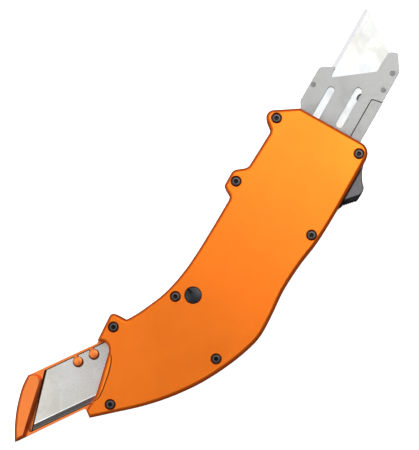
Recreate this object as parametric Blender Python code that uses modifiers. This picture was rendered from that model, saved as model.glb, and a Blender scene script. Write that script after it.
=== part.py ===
"""Double-ended deburring knife: a spring-fired blade in a steel holder at one end of a two-shell
aluminium handle, and a fixed blade in a guarded hook pocket at the other end."""

from math import atan2, cos, pi, radians, sin, tan

import bmesh
import bpy
from mathutils import Matrix

# All sizes are millimetres; the helpers turn them into metres when a mesh is made.
# +X runs along the slide towards the extended blade tip, +Y to the lobed side, +Z out of the front face.
MM = 0.001
GAP = 0.3

# layers through the thickness
HANDLE_THICK = 13.0
SPLIT_Z = 6.5
BACK_TOP = SPLIT_Z - GAP / 2
FRONT_LOW = SPLIT_Z + GAP / 2
MECH_FLOOR = 2.4
MECH_LOW = MECH_FLOOR + GAP
MECH_TOP = 6.0
PLATE_THICK = 0.7
BLADE_THICK = 0.65
BACK_PLATE_LOW = FRONT_LOW
BACK_PLATE_TOP = BACK_PLATE_LOW + PLATE_THICK
BLADE_LOW = BACK_PLATE_TOP + GAP
BLADE_TOP = BLADE_LOW + BLADE_THICK
FRONT_PLATE_LOW = BLADE_TOP + GAP
FRONT_PLATE_TOP = FRONT_PLATE_LOW + PLATE_THICK
CHANNEL_ROOF = FRONT_PLATE_TOP + GAP

# handle
RIM = 1.45
MOUTH_X = 39.3
MOUTH_TOP_Y = 15.7
BELLY_Y = -16.6
LIP_DEPTH = 0.5
SCREW_PLACES = [(31.3, 21.9), (35.0, -13.2), (1.8, 23.4), (-2.0, -12.8),
                (-49.3, 21.7), (-71.7, 36.9), (-62.6, -4.3), (-98.6, 22.9)]
SCREW_HEAD_R = 1.8
SCREW_SHANK_R = 0.8
SCREW_TOP = 12.75
SCREW_HEAD_LOW = 10.8
SCREW_TIP = 1.2
SCREW_EDGE = 0.3
SOCKET_R = 0.87
SOCKET_DEEP = 1.0
COUNTERBORE_R = 2.1
MAGNET_PLACE = (-45.4, 15.9)
MAGNET_R = 3.2
MAGNET_LOW = 10.7
MAGNET_TOP = HANDLE_THICK - 0.05
NOTCH_TURN = radians(70)
LOCATING_PLACES = [(-58.0, 5.0), (-70.0, 24.5)]
LOCATING_R = 1.0
PIN_LOW = 4.2
PIN_HOLE_LOW = 4.0
LOCATING_TOP = 9.6

# carriage channel and the mechanism well under it
STROKE = 48.0
THUMB_TRAVEL = 20.0
CARRIAGE_REAR = 16.0
CHANNEL = (CARRIAGE_REAR - STROKE - 2.9, -11.55, 18.0)
BUMPER_LONG = 2.2
BUMPER_Y = (-6.0, 9.0)
WELL = (-34.5, 31.0, -11.6, 8.0)

# blade holder
HOLDER_LOW_Y = -11.1
HOLDER_TOP_Y = 15.3
LOCK_NOTCH = (18.7, 22.1, 13.5)
LATCH_PIVOT = (36.5, -8.9)
LATCH_PIVOT_R = 0.6
LATCH_END_X = 57.2
LATCH_TOP_Y = -7.0
RIVETS = [(50.3, 16.05), (61.9, -9.0), (69.4, -8.9), (24.6, 9.5), (19.2, -8.4), (29.6, -8.4)]
RIVET_R = 0.95
NOSE_X = 55.0

# thumb slide and the parts that ride with it
STEM_X = (21.0, 28.0)
STEM_END_Y = -8.8
STEM_LOW = MECH_LOW + 0.3
GRIP_TOP_Y = BELLY_Y - GAP
GRIP_Z = (2.5, 10.5)
SLIDE_PIN = (24.5, -10.2)
SLIDE_PIN_R = 0.75
LUG_X = (18.0, 21.0)
LUG_HALF_Y = 2.0
STUD = ((LUG_X[0] + LUG_X[1]) / 2, 0.0)
STUD_R = 1.1
FRONT_CARRIER_X = (LUG_X[1] + GAP, LUG_X[1] + GAP + 2.4)
REAR_CARRIER_FACE = LUG_X[0] - STROKE + THUMB_TRAVEL - GAP
REAR_CARRIER_X = (REAR_CARRIER_FACE - 2.4, REAR_CARRIER_FACE)
SPRING_Y = 5.0
SPRING_COIL_R = 1.2
SPRING_WIRE_R = 0.28
SPRING_TURNS = 11

# blade locks
LOCK_PIVOT = (9.0, 19.2)
LOCK_LOW = FRONT_LOW + 0.35
LOCK_TOP = CHANNEL_ROOF - 0.4
LOCK_PIN_R = 0.5

# blades
BLADE_WIDE = 19.0
NOTCH_R = 2.15
NOTCH_IN = 2.4
NOTCH_STEP = 6.9
EDGE_BEVEL = 1.1
HEAD_BLADE = (58.3, 29.0, 56.5)
HEAD_BACK_Y = -5.8
TOOTH_HALF = 0.7

# fixed blade in the tail: distances along and across the tail, which points 35 degrees below -X
TAIL_ANGLE = radians(-35)
TAIL_BACK_N = -14.7
TAIL_BLADE_MID_S = -95.25
TAIL_BLADE = (-TAIL_BLADE_MID_S, 31.15, 51.5)
POCKET_FLOOR = 5.0
GROOVE_FLOOR = 2.6
PEG_R = 1.75
PEG_IN = 2.1
PEG_TOP = 7.2
HOOK_TOP = 9.6

# colours
ORANGE = (0.88, 0.26, 0.03)
STEEL = (0.55, 0.56, 0.57)
BRIGHT = (0.80, 0.80, 0.79)
GUNMETAL = (0.09, 0.09, 0.10)
DARK = (0.03, 0.03, 0.035)
GREY = (0.17, 0.17, 0.18)


# ---- outlines ---------------------------------------------------------------------------------

def rounded(corners):
    """Closed outline from corners (x, y) or (x, y, radius); each radius becomes a fillet arc."""
    points = []
    count = len(corners)
    for i, corner in enumerate(corners):
        x, y = corner[:2]
        radius = corner[2] if len(corner) > 2 else 0.0
        if radius == 0.0:
            points.append((x, y))
            continue
        before = corners[i - 1]
        after = corners[(i + 1) % count]
        into = atan2(before[1] - y, before[0] - x)
        away = atan2(after[1] - y, after[0] - x)
        spread = (away - into + pi) % (2 * pi) - pi
        half = abs(spread) / 2
        middle = into + spread / 2
        reach = radius / sin(half)
        centre = (x + reach * cos(middle), y + reach * sin(middle))
        sweep = pi - abs(spread)
        start = middle + pi + (sweep / 2 if spread > 0 else -sweep / 2)
        turn = -sweep if spread > 0 else sweep
        steps = max(2, round(sweep / radians(18)))
        points += [(centre[0] + radius * cos(start + turn * k / steps),
                    centre[1] + radius * sin(start + turn * k / steps)) for k in range(steps + 1)]
    return points


def arc(centre, radius, start, end, steps):
    """Points of an arc; the angles are in degrees."""
    angles = [radians(start + (end - start) * k / steps) for k in range(steps + 1)]
    return [(centre[0] + radius * cos(a), centre[1] + radius * sin(a)) for a in angles]


def circle(centre, radius, steps=24):
    return arc(centre, radius, 0, 360, steps)[:-1]


def flow(knots, steps=3):
    """Smooth stretch through the knots (Catmull-Rom), from the first knot to the last."""
    padded = [knots[0]] + knots + [knots[-1]]
    points = [knots[0]]
    for a, b, c, d in zip(padded, padded[1:], padded[2:], padded[3:]):
        for k in range(1, steps + 1):
            t = k / steps
            points.append(tuple(0.5 * (2 * b[i] + (c[i] - a[i]) * t
                                       + (2 * a[i] - 5 * b[i] + 4 * c[i] - d[i]) * t ** 2
                                       + (3 * b[i] - a[i] - 3 * c[i] + d[i]) * t ** 3)
                                for i in range(2)))
    return points


def bar(x0, x1, y0, y1, radius=0.0):
    return rounded([(x0, y0, radius), (x1, y0, radius), (x1, y1, radius), (x0, y1, radius)])


def slot(x0, x1, y0, y1):
    """Long slot with round ends."""
    return bar(x0, x1, y0, y1, (y1 - y0) / 2 - 0.001)


def tail(s, n):
    """Point s along the tail and n across it, in handle coordinates."""
    return (s * cos(TAIL_ANGLE) - n * sin(TAIL_ANGLE), s * sin(TAIL_ANGLE) + n * cos(TAIL_ANGLE))


# ---- solids -----------------------------------------------------------------------------------

def collection(name, hidden=False):
    made = bpy.data.collections.new(name)
    bpy.context.scene.collection.children.link(made)
    made.hide_render = hidden
    return made


def evaluated_mesh(obj):
    graph = bpy.context.evaluated_depsgraph_get()
    graph.update()
    return bpy.data.meshes.new_from_object(obj.evaluated_get(graph))


def mesh_object(name, mesh, home):
    obj = bpy.data.objects.new(name, mesh)
    home.objects.link(obj)
    return obj


def prism_mesh(loops, low, high):
    """Flat outline with holes or islands, filled and extruded from low to high."""
    curve = bpy.data.curves.new("outline", "CURVE")
    curve.dimensions = "2D"
    curve.fill_mode = "BOTH"
    curve.extrude = (high - low) / 2 * MM
    for loop in loops:
        spline = curve.splines.new("POLY")
        spline.points.add(len(loop) - 1)
        for point, (x, y) in zip(spline.points, loop):
            point.co = (x * MM, y * MM, 0, 1)
        spline.use_cyclic_u = True
    carrier = mesh_object("outline", curve, CUTTERS)
    mesh = evaluated_mesh(carrier)
    bpy.data.objects.remove(carrier)
    bpy.data.curves.remove(curve)
    build = bmesh.new()
    build.from_mesh(mesh)
    bmesh.ops.remove_doubles(build, verts=build.verts, dist=0.00001)
    bmesh.ops.translate(build, verts=build.verts, vec=(0, 0, (low + high) / 2 * MM))
    bmesh.ops.recalc_face_normals(build, faces=build.faces)
    build.to_mesh(mesh)
    build.free()
    return mesh


def prism(name, loops, low, high, home=None):
    return mesh_object(name, prism_mesh(loops, low, high), home or PARTS)


def cutter(loops, low, high):
    obj = prism("cutter", loops, low, high, CUTTERS)
    obj.display_type = "WIRE"
    return obj


def chamfer_rims(obj, heights, width, segments):
    """Rounds the outline edges that lie at the given heights."""
    build = bmesh.new()
    build.from_mesh(obj.data)
    bmesh.ops.dissolve_limit(build, angle_limit=radians(0.2), verts=build.verts, edges=build.edges)
    weights = build.edges.layers.float.new("bevel_weight_edge")
    for edge in build.edges:
        level = [vert.co.z / MM for vert in edge.verts]
        if any(max(abs(z - height) for z in level) < 0.01 for height in heights):
            edge[weights] = 1.0
    build.to_mesh(obj.data)
    build.free()
    rim = obj.modifiers.new("rim", "BEVEL")
    rim.limit_method = "WEIGHT"
    rim.width = width * MM
    rim.segments = segments
    rim.use_clamp_overlap = False


def boolean(target, tool, operation="DIFFERENCE"):
    made = target.modifiers.new(operation.lower(), "BOOLEAN")
    made.operation = operation
    made.object = tool
    made.solver = "EXACT"


def turned_mesh(profile, steps):
    """Solid of revolution about Z from (radius, z) pairs that run top to bottom."""
    build = bmesh.new()
    verts = [build.verts.new((r * MM, 0, z * MM)) for r, z in profile]
    for upper, lower in zip(verts, verts[1:]):
        build.edges.new((upper, lower))
    mesh = bpy.data.meshes.new("profile")
    build.to_mesh(mesh)
    build.free()
    obj = mesh_object("profile", mesh, CUTTERS)
    spin = obj.modifiers.new("spin", "SCREW")
    spin.steps = steps
    spin.render_steps = steps
    spin.use_merge_vertices = True
    spin.merge_threshold = 0.00001
    result = evaluated_mesh(obj)
    bpy.data.objects.remove(obj)
    return result


def copies(name, mesh, places, look):
    """One object per (x, y) place, numbered when there is more than one; they share the mesh."""
    for number, (x, y) in enumerate(places, 1):
        label = f"{name}_{number}" if len(places) > 1 else name
        obj = mesh_object(label, mesh, PARTS)
        obj.location = (x * MM, y * MM, 0)
    finish(obj, *look)


def pin_mesh(radius, low, high, chamfer=0.15, steps=16):
    return turned_mesh([(0, high), (radius - chamfer, high), (radius, high - chamfer),
                        (radius, low + chamfer), (radius - chamfer, low), (0, low)], steps)


def set_origin(obj, x, y, z):
    """Puts the object's origin on its joint axis and leaves its shape where it is."""
    obj.data.transform(Matrix.Translation((-x * MM, -y * MM, -z * MM)))
    obj.location = (x * MM, y * MM, z * MM)


def finish(obj, colour, roughness, metallic):
    """Material of its own, round faces smooth and hard edges kept."""
    mesh = obj.data
    mesh.shade_smooth()
    mesh.set_sharp_from_angle(angle=radians(35))
    material = bpy.data.materials.new(obj.name)
    material.use_nodes = True
    shader = material.node_tree.nodes["Principled BSDF"]
    shader.inputs["Base Color"].default_value = (*colour, 1)
    shader.inputs["Roughness"].default_value = roughness
    shader.inputs["Metallic"].default_value = metallic
    mesh.materials.clear()
    mesh.materials.append(material)


# ---- outlines of this object ------------------------------------------------------------------

def upper_edge():
    """From the mouth over both screw lobes and along the back of the grip to the tail shoulder."""
    first_lobe = [(MOUTH_X, MOUTH_TOP_Y)] + arc((31.0, 22.9), 3.05, 31, 140, 8)
    lobes = rounded([first_lobe[-1], (25.75, 21.3, 2.6), (8.8, 22.0, 3.2), (5.1, 26.7, 2.8),
                     (-2.3, 26.65, 2.2), (-4.75, 22.3, 1.9), (-9.0, 22.3)])
    waist = flow([(-9.0, 22.3), (-20.0, 22.5), (-31.0, 22.9), (-40.0, 23.8), (-50.0, 26.0),
                  (-60.0, 30.2), (-65.4, 33.1)])
    shoulder = rounded([(-65.4, 33.1), (-66.7, 34.0, 0.8), (-66.9, 40.5, 1.9), (-78.0, 40.1)])
    return first_lobe + lobes[1:] + waist[1:] + shoulder[1:-1]


def belly():
    """From the heel under the tail along the belly to the mouth."""
    curve = flow([(-107.2, 27.4), (-101.6, 21.2), (-93.6, 12.4), (-85.0, 4.5), (-75.0, -2.8),
                  (-65.0, -8.3), (-55.0, -12.5), (-46.5, -14.7), (-37.0, -14.6), (-26.0, -13.8),
                  (-14.0, -14.5), (-5.0, -15.8), (3.0, -16.4), (12.0, BELLY_Y)])
    return curve + rounded([(12.0, BELLY_Y), (MOUTH_X, BELLY_Y, 4.6), (MOUTH_X, MOUTH_TOP_Y)])[1:-1]


def front_outline():
    cut_edge = flow([(-79.4, 39.8), (-78.9, 38.3), (-78.6, 36.6), (-79.3, 34.9), (-81.0, 33.7)], 2)
    return upper_edge() + cut_edge + [(-98.7, 29.6), (-105.3, 30.0)] + belly()


def back_outline():
    hook = flow([(-104.8, 57.1), (-109.6, 56.8), (-115.0, 55.5), (-120.0, 53.8), (-125.4, 51.3),
                 (-130.2, 48.5)], 2)
    return upper_edge() + [(-80.6, 39.8)] + hook + [(-105.5, 31.5), (-105.4, 30.1)] + belly()


def trapezoid(mid, half_edge, slant):
    """Utility blade along X with its cutting edge on top, its back edge at 0 and two notches."""
    notches = []
    for side in (-1, 1):
        x = mid + side * NOTCH_STEP / 2
        mouth = arc((x, NOTCH_IN), NOTCH_R, 240, -60, 10)
        notches += [(x - NOTCH_R / 2, 0)] + mouth + [(x + NOTCH_R / 2, 0)]
    run = BLADE_WIDE / tan(radians(slant))
    return ([(mid - half_edge + run, 0)] + notches
            + [(mid + half_edge - run, 0), (mid + half_edge, BLADE_WIDE), (mid - half_edge, BLADE_WIDE)])


def holder_outline(low):
    """Holder plate: hook over the cutting edge on top, nose under the back edge at the front."""
    rear = [(CARRIAGE_REAR, low, 1.0)]
    nose = [(71.2, low, 1.6), (77.7, -6.8, 1.1), (76.2, -3.6, 1.6), (67.1, -3.3, 1.6)]
    hook = [(56.0, 11.5, 0.7), (60.7, 12.0, 0.4), (57.6, 17.4, 2.2), (42.3, 17.4, 1.2)]
    return rear, nose, hook + lock_notch(38.8, HOLDER_TOP_Y, LOCK_NOTCH[2])


def lock_notch(front, top, bottom):
    """Upper run of the holder's rear part, with the notch that the locks drop into."""
    x0, x1 = LOCK_NOTCH[:2]
    return [(front, top, 1.0), (x1, top), (x1, bottom), (x0, bottom), (x0, top), (CARRIAGE_REAR, top, 1.0)]


# ---- handle -----------------------------------------------------------------------------------

def rect_cut(box, low, high, radius=0.0):
    return cutter([bar(*box, radius)], low, high)


def shell_fittings(shell, low, high):
    """Holes that both shells share: screw shanks, locating pins and lock pivots."""
    boolean(shell, cutter([circle(place, SCREW_SHANK_R + 0.2, 16) for place in SCREW_PLACES], *low))
    pins = [circle(place, LOCATING_R + 0.15, 16) for place in LOCATING_PLACES]
    pins += [circle(place, LOCK_PIN_R + 0.15, 12) for place in lock_pivots()]
    boolean(shell, cutter(pins, *high))


def lock_pivots():
    return [LOCK_PIVOT, (LOCK_PIVOT[0] - STROKE, LOCK_PIVOT[1])]


def front_half():
    shell = prism("front_half", [front_outline()], FRONT_LOW, HANDLE_THICK)
    chamfer_rims(shell, [HANDLE_THICK], RIM, 3)
    rear, low, high = CHANNEL
    boolean(shell, rect_cut((rear, MOUTH_X + 5, low, high), FRONT_LOW - 1, CHANNEL_ROOF))
    # room for the latch arm's swing when the holder is drawn in
    for latch_room in ((-9.5, 0.5, low - 0.45, low + 1), (0.0, 11.5, low - 0.95, low + 1)):
        boolean(shell, rect_cut(latch_room, FRONT_LOW - 1, CHANNEL_ROOF))
    for x, y in lock_pivots():
        boolean(shell, rect_cut((x - 2.2, x + 15, y - 2.8, y + 1.3), FRONT_LOW - 1, CHANNEL_ROOF, 0.8))
    bores = cutter([circle(place, COUNTERBORE_R) for place in SCREW_PLACES],
                   SCREW_HEAD_LOW - GAP, HANDLE_THICK + 1)
    boolean(shell, bores)
    shell_fittings(shell, (FRONT_LOW - 1, SCREW_HEAD_LOW), (FRONT_LOW - 1, CHANNEL_ROOF + 0.3))
    boolean(shell, cutter([circle(MAGNET_PLACE, MAGNET_R + 0.15, 32)], MAGNET_LOW - GAP, HANDLE_THICK + 1))
    lip = flow([(-101.2, 29.7), (-99.6, 28.7), (-97.3, 28.3), (-92.8, 28.9), (-87.7, 29.9), (-84.0, 31.1),
                (-81.9, 32.3), (-81.1, 33.6)])
    lip += [(-81.5, 35.5), (-99.0, 31.5)]
    boolean(shell, cutter([lip], HANDLE_THICK - LIP_DEPTH, HANDLE_THICK + 1))
    finish(shell, ORANGE, 0.38, 0.75)


def tail_pocket():
    """Floor outline of the fixed blade's pocket, open under the front shell."""
    top_n = TAIL_BACK_N + 0.35
    low_n = TAIL_BACK_N - BLADE_WIDE - 0.4
    return rounded([tail(-79.0, top_n), tail(-111.0, top_n), (-105.2, 50.8), (-124.6, 46.1, 0.8),
                    tail(-127.0, low_n), tail(-62.8, low_n)])


def pocket_groove():
    """Deep channel beside the fixed blade's outer end, which keeps its corners off the floor."""
    mid, half_edge, slant = TAIL_BLADE
    run = BLADE_WIDE / tan(radians(slant))
    back_end, edge_end = -(mid + half_edge - run), -(mid + half_edge)
    back_n, edge_n = TAIL_BACK_N + 0.3, TAIL_BACK_N - BLADE_WIDE - 0.3
    under, clear = 0.5, 0.9
    return [tail(back_end + under, back_n), tail(back_end - clear, back_n),
            tail(edge_end - clear, edge_n), tail(edge_end + under, edge_n)]


def peg_places():
    return [TAIL_BLADE_MID_S - NOTCH_STEP / 2, TAIL_BLADE_MID_S + NOTCH_STEP / 2]


def back_half():
    shell = prism("back_half", [back_outline()], 0, HOOK_TOP)
    chamfer_rims(shell, [0, HOOK_TOP], RIM, 3)
    hook_wall = rounded([(-132.0, 45.0), (-125.5, 46.6), (-105.0, 51.4, 6.0), (-102.4, 53.4, 1.2),
                         (-103.2, 60.0)])
    beyond = [(-95.0, 80.0), (60.0, 80.0), (60.0, -60.0), (-140.0, -60.0), (-140.0, 40.0)]
    boolean(shell, cutter([hook_wall + beyond], BACK_TOP, HOOK_TOP + 2))
    boolean(shell, cutter([tail_pocket()], POCKET_FLOOR, HOOK_TOP + 1))
    boolean(shell, cutter([pocket_groove()], GROOVE_FLOOR, HOOK_TOP + 1))
    # each peg is joined to the pocket's upper wall by a narrow tab
    tab_low, tab_high = TAIL_BACK_N - 2.3, TAIL_BACK_N + 0.7
    tabs = [[tail(s - 0.75, tab_low), tail(s + 0.75, tab_low), tail(s + 0.75, tab_high),
             tail(s - 0.75, tab_high)] for s in peg_places()]
    pegs = [circle(tail(s, TAIL_BACK_N - PEG_IN), PEG_R) for s in peg_places()]
    boolean(shell, cutter(tabs, POCKET_FLOOR - 1, BACK_TOP - 0.2), "UNION")
    boolean(shell, cutter(pegs, POCKET_FLOOR - 1, PEG_TOP), "UNION")
    boolean(shell, rect_cut(WELL, MECH_FLOOR, SPLIT_Z + 1, 2.0))
    stem_path = (STEM_X[0] - THUMB_TRAVEL - GAP, STEM_X[1] + GAP, BELLY_Y - 2, WELL[2] + 2.5)
    boolean(shell, rect_cut(stem_path, MECH_LOW, SPLIT_Z + 1))
    shell_fittings(shell, (SCREW_TIP - GAP, SPLIT_Z + 1), (PIN_HOLE_LOW, SPLIT_Z + 1))
    finish(shell, ORANGE, 0.38, 0.75)


def handle_screws():
    edge = SCREW_EDGE
    profile = [(0, SCREW_TOP), (SCREW_HEAD_R - edge, SCREW_TOP), (SCREW_HEAD_R, SCREW_TOP - edge),
               (SCREW_HEAD_R, SCREW_HEAD_LOW), (SCREW_SHANK_R, SCREW_HEAD_LOW),
               (SCREW_SHANK_R, SCREW_TIP + edge), (SCREW_SHANK_R - edge, SCREW_TIP), (0, SCREW_TIP)]
    screw = mesh_object("screw", turned_mesh(profile, 16), CUTTERS)
    socket = circle((0, 0), SOCKET_R, 6)
    boolean(screw, cutter([socket], SCREW_TOP - SOCKET_DEEP, SCREW_TOP + 1))
    copies("handle_screw", evaluated_mesh(screw), SCREW_PLACES, (GUNMETAL, 0.4, 0.9))


def magnet_disc():
    """Pressed-in disc, flush with the front face, with a pry notch in its rim."""
    disc = mesh_object("magnet_disc", pin_mesh(MAGNET_R, MAGNET_LOW, MAGNET_TOP, 0.2, 32), PARTS)
    disc.data.transform(Matrix.Translation((MAGNET_PLACE[0] * MM, MAGNET_PLACE[1] * MM, 0)))
    notch = []
    for along, across in bar(1.9, 4.2, -0.4, 0.4):
        notch.append((MAGNET_PLACE[0] + along * cos(NOTCH_TURN) - across * sin(NOTCH_TURN),
                      MAGNET_PLACE[1] + along * sin(NOTCH_TURN) + across * cos(NOTCH_TURN)))
    boolean(disc, cutter([notch], MAGNET_TOP - 1.0, MAGNET_TOP + 1))
    finish(disc, DARK, 0.35, 0.6)


def locating_pins():
    copies("locating_pin", pin_mesh(LOCATING_R, PIN_LOW, LOCATING_TOP), LOCATING_PLACES, (STEEL, 0.3, 1.0))


def lock_pivot_pins():
    pin = pin_mesh(LOCK_PIN_R, PIN_LOW, CHANNEL_ROOF, 0.1, 12)
    copies("lock_pivot", pin, lock_pivots(), (STEEL, 0.3, 1.0))


def rear_bumper():
    rear = CHANNEL[0] + GAP
    block = bar(rear, rear + BUMPER_LONG, *BUMPER_Y, 0.8)
    bumper = prism("rear_bumper", [block], FRONT_LOW, FRONT_PLATE_TOP)
    finish(bumper, DARK, 0.8, 0.0)


# ---- blades -----------------------------------------------------------------------------------

def ground_blade(name, outline, low, place):
    """Flat blade with its cutting edge ground from both faces."""
    blade = prism(name, [outline], low, low + BLADE_THICK)
    ends = [min(x for x, y in outline) - 1, max(x for x, y in outline) + 1]
    middle = low + BLADE_THICK / 2
    for side in (-1, 1):
        face = middle + side * BLADE_THICK / 2
        build = bmesh.new()
        wedge = [(BLADE_WIDE - EDGE_BEVEL, face), (BLADE_WIDE + 0.5, face + side * 0.5),
                 (BLADE_WIDE + 0.5, middle + side * 0.02), (BLADE_WIDE, middle + side * 0.06)]
        rows = [[build.verts.new((x * MM, y * MM, z * MM)) for y, z in wedge] for x in ends]
        count = len(wedge)
        for k in range(count):
            build.faces.new((rows[0][k], rows[0][(k + 1) % count], rows[1][(k + 1) % count], rows[1][k]))
        build.faces.new(rows[0])
        build.faces.new(rows[1])
        bmesh.ops.recalc_face_normals(build, faces=build.faces)
        mesh = bpy.data.meshes.new("wedge")
        build.to_mesh(mesh)
        build.free()
        boolean(blade, mesh_object("wedge", mesh, CUTTERS))
    baked = evaluated_mesh(blade)
    blade.modifiers.clear()
    baked.transform(place)
    blade.data = baked
    finish(blade, BRIGHT, 0.25, 1.0)


def head_blade():
    place = Matrix.Translation((0, HEAD_BACK_Y * MM, 0))
    ground_blade("head_blade", trapezoid(*HEAD_BLADE), BLADE_LOW, place)


def tail_blade():
    low = POCKET_FLOOR + GAP
    corner = tail(0, TAIL_BACK_N)
    turn = Matrix.Rotation(TAIL_ANGLE + pi, 4, "Z")
    place = Matrix.Translation((corner[0] * MM, corner[1] * MM, 0)) @ turn
    ground_blade("tail_blade", trapezoid(*TAIL_BLADE), low, place)


# ---- carriage ---------------------------------------------------------------------------------

def rivet_holes(places):
    return [circle(place, RIVET_R + 0.15, 16) for place in places]


def holder_front_plate():
    """Front plate with two long slots over the blade and a cut-out for the latch arm."""
    rear, nose, top = holder_outline(HOLDER_LOW_Y)
    latch_gap = [(LATCH_PIVOT[0] - 3.2, HOLDER_LOW_Y), (LATCH_PIVOT[0] - 3.2, LATCH_TOP_Y + GAP, 0.6),
                 (LATCH_END_X - 0.6, LATCH_TOP_Y + GAP, 0.9), (LATCH_END_X + GAP, HOLDER_LOW_Y)]
    outline = rounded(rear + latch_gap + nose + top)
    slots = [slot(30.0, 53.2, 7.4, 10.4), slot(40.3, 58.2, -2.2, 0.8)]
    plate = prism("holder_front_plate", [outline] + slots + rivet_holes(RIVETS),
                  FRONT_PLATE_LOW, FRONT_PLATE_TOP)
    finish(plate, STEEL, 0.35, 1.0)


def holder_back_plate():
    rear, nose, top = holder_outline(HOLDER_LOW_Y)
    holes = rivet_holes(RIVETS)
    holes += [circle(STUD, STUD_R + 0.2, 16), circle(LATCH_PIVOT, LATCH_PIVOT_R + 0.15, 12)]
    plate = prism("holder_back_plate", [rounded(rear + nose + top)] + holes, BACK_PLATE_LOW, BACK_PLATE_TOP)
    finish(plate, STEEL, 0.35, 1.0)


def holder_spacer():
    """Rear block behind the blade with a strip along the top that backs the hook."""
    block = [(CARRIAGE_REAR, HOLDER_LOW_Y, 1.0), (32.6, HOLDER_LOW_Y, 0.8), (32.6, 3.4, 1.0), (27.0, 11.8)]
    strip = [(27.0, 13.5), (58.9, 13.5, 0.6), (56.4, 17.1, 1.8), (42.4, 17.1, 1.0)]
    outline = rounded(block + strip + lock_notch(38.8, HOLDER_TOP_Y - 0.4, LOCK_NOTCH[2] - 1))
    inner = [place for place in RIVETS if place[0] < NOSE_X]
    spacer = prism("holder_spacer", [outline] + rivet_holes(inner), BLADE_LOW, BLADE_TOP)
    finish(spacer, STEEL, 0.4, 1.0)


def hook_spacer():
    outline = rounded([(58.4, -10.9, 0.6), (70.8, -10.9, 1.2), (76.3, -6.9, 0.5), (75.6, -6.2, 0.3),
                       (58.4, -6.2, 0.6)])
    nose = [place for place in RIVETS if place[0] > NOSE_X]
    spacer = prism("hook_spacer", [outline] + rivet_holes(nose), BLADE_LOW, BLADE_TOP)
    finish(spacer, STEEL, 0.4, 1.0)


def holder_rivets():
    rivet = pin_mesh(RIVET_R, BACK_PLATE_LOW, FRONT_PLATE_TOP, 0.1)
    copies("holder_rivet", rivet, RIVETS, (STEEL, 0.3, 1.0))


def latch_arm():
    """Spring arm in the front plate's cut-out; its tooth keeps the blade in through a notch."""
    x, y = LATCH_PIVOT
    low = HOLDER_LOW_Y - 0.2
    outline = rounded([(x - 2.6, low, 0.8), (LATCH_END_X, low, 0.5), (LATCH_END_X - 0.8, LATCH_TOP_Y, 0.9),
                       (x - 2.6, LATCH_TOP_Y, 0.8)])
    arm = prism("latch_arm", [outline], BLADE_LOW, FRONT_PLATE_TOP)
    tooth_x = HEAD_BLADE[0] - NOTCH_STEP / 2
    tooth = bar(tooth_x - TOOTH_HALF, tooth_x + TOOTH_HALF, LATCH_TOP_Y - 1.5, HEAD_BACK_Y + 0.7, 0.3)
    boolean(arm, cutter([tooth], BLADE_LOW, BLADE_TOP), "UNION")
    bore = circle(LATCH_PIVOT, LATCH_PIVOT_R + 0.15, 12)
    boolean(arm, cutter([bore], BLADE_LOW - 1, FRONT_PLATE_TOP + 1))
    baked = evaluated_mesh(arm)
    arm.modifiers.clear()
    arm.data = baked
    set_origin(arm, x, y, (BLADE_LOW + FRONT_PLATE_TOP) / 2)
    finish(arm, STEEL, 0.35, 1.0)


def latch_pivot():
    pin = pin_mesh(LATCH_PIVOT_R, BACK_PLATE_LOW, FRONT_PLATE_TOP, 0.1, 12)
    copies("latch_pivot", pin, [LATCH_PIVOT], (STEEL, 0.3, 1.0))


def drive_lug():
    lug = prism("drive_lug", [bar(*LUG_X, -LUG_HALF_Y, LUG_HALF_Y, 0.4)], MECH_LOW + 0.3, BACK_TOP)
    boolean(lug, cutter([circle(STUD, STUD_R, 16)], BACK_TOP - 0.8, BACK_PLATE_TOP), "UNION")
    finish(lug, GUNMETAL, 0.45, 0.9)


# ---- thumb slide and spring drive -------------------------------------------------------------

def grip_outline():
    """Thumb slide: serrated ramp at the rear, flat crown, smooth fall to the front."""
    ramp_low = (14.4, -17.5)
    ramp_high = (18.4, -21.1)
    teeth = 6
    lean = atan2(ramp_high[1] - ramp_low[1], ramp_high[0] - ramp_low[0])
    points = [(33.0, GRIP_TOP_Y), (12.3, GRIP_TOP_Y)]
    for k in range(teeth + 1):
        share = k / teeth
        x = ramp_low[0] + share * (ramp_high[0] - ramp_low[0])
        y = ramp_low[1] + share * (ramp_high[1] - ramp_low[1])
        points.append((x, y))
        if k < teeth:
            points.append((x + 0.3 * cos(lean) - 0.35 * sin(lean), y + 0.3 * sin(lean) + 0.35 * cos(lean)))
    points += [(19.3, -21.55), (21.5, -21.7), (23.4, -21.7), (24.6, -21.3)]
    return points + [(26.3, -19.7), (28.2, -18.5), (30.2, -17.5)]


def thumb_slide():
    grip = prism("thumb_slide", [grip_outline()], *GRIP_Z)
    chamfer_rims(grip, GRIP_Z, 0.5, 2)
    stem = bar(*STEM_X, STEM_END_Y, GRIP_TOP_Y - 1.2)
    boolean(grip, cutter([stem], STEM_LOW, MECH_TOP), "UNION")
    boolean(grip, cutter([circle(SLIDE_PIN, SLIDE_PIN_R + 0.15, 12)], STEM_LOW - 1, MECH_TOP + 1))
    finish(grip, GREY, 0.5, 0.3)


def slide_pin():
    pin = pin_mesh(SLIDE_PIN_R, STEM_LOW, MECH_TOP, 0.1, 12)
    copies("slide_pin", pin, [SLIDE_PIN], (STEEL, 0.3, 1.0))


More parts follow.
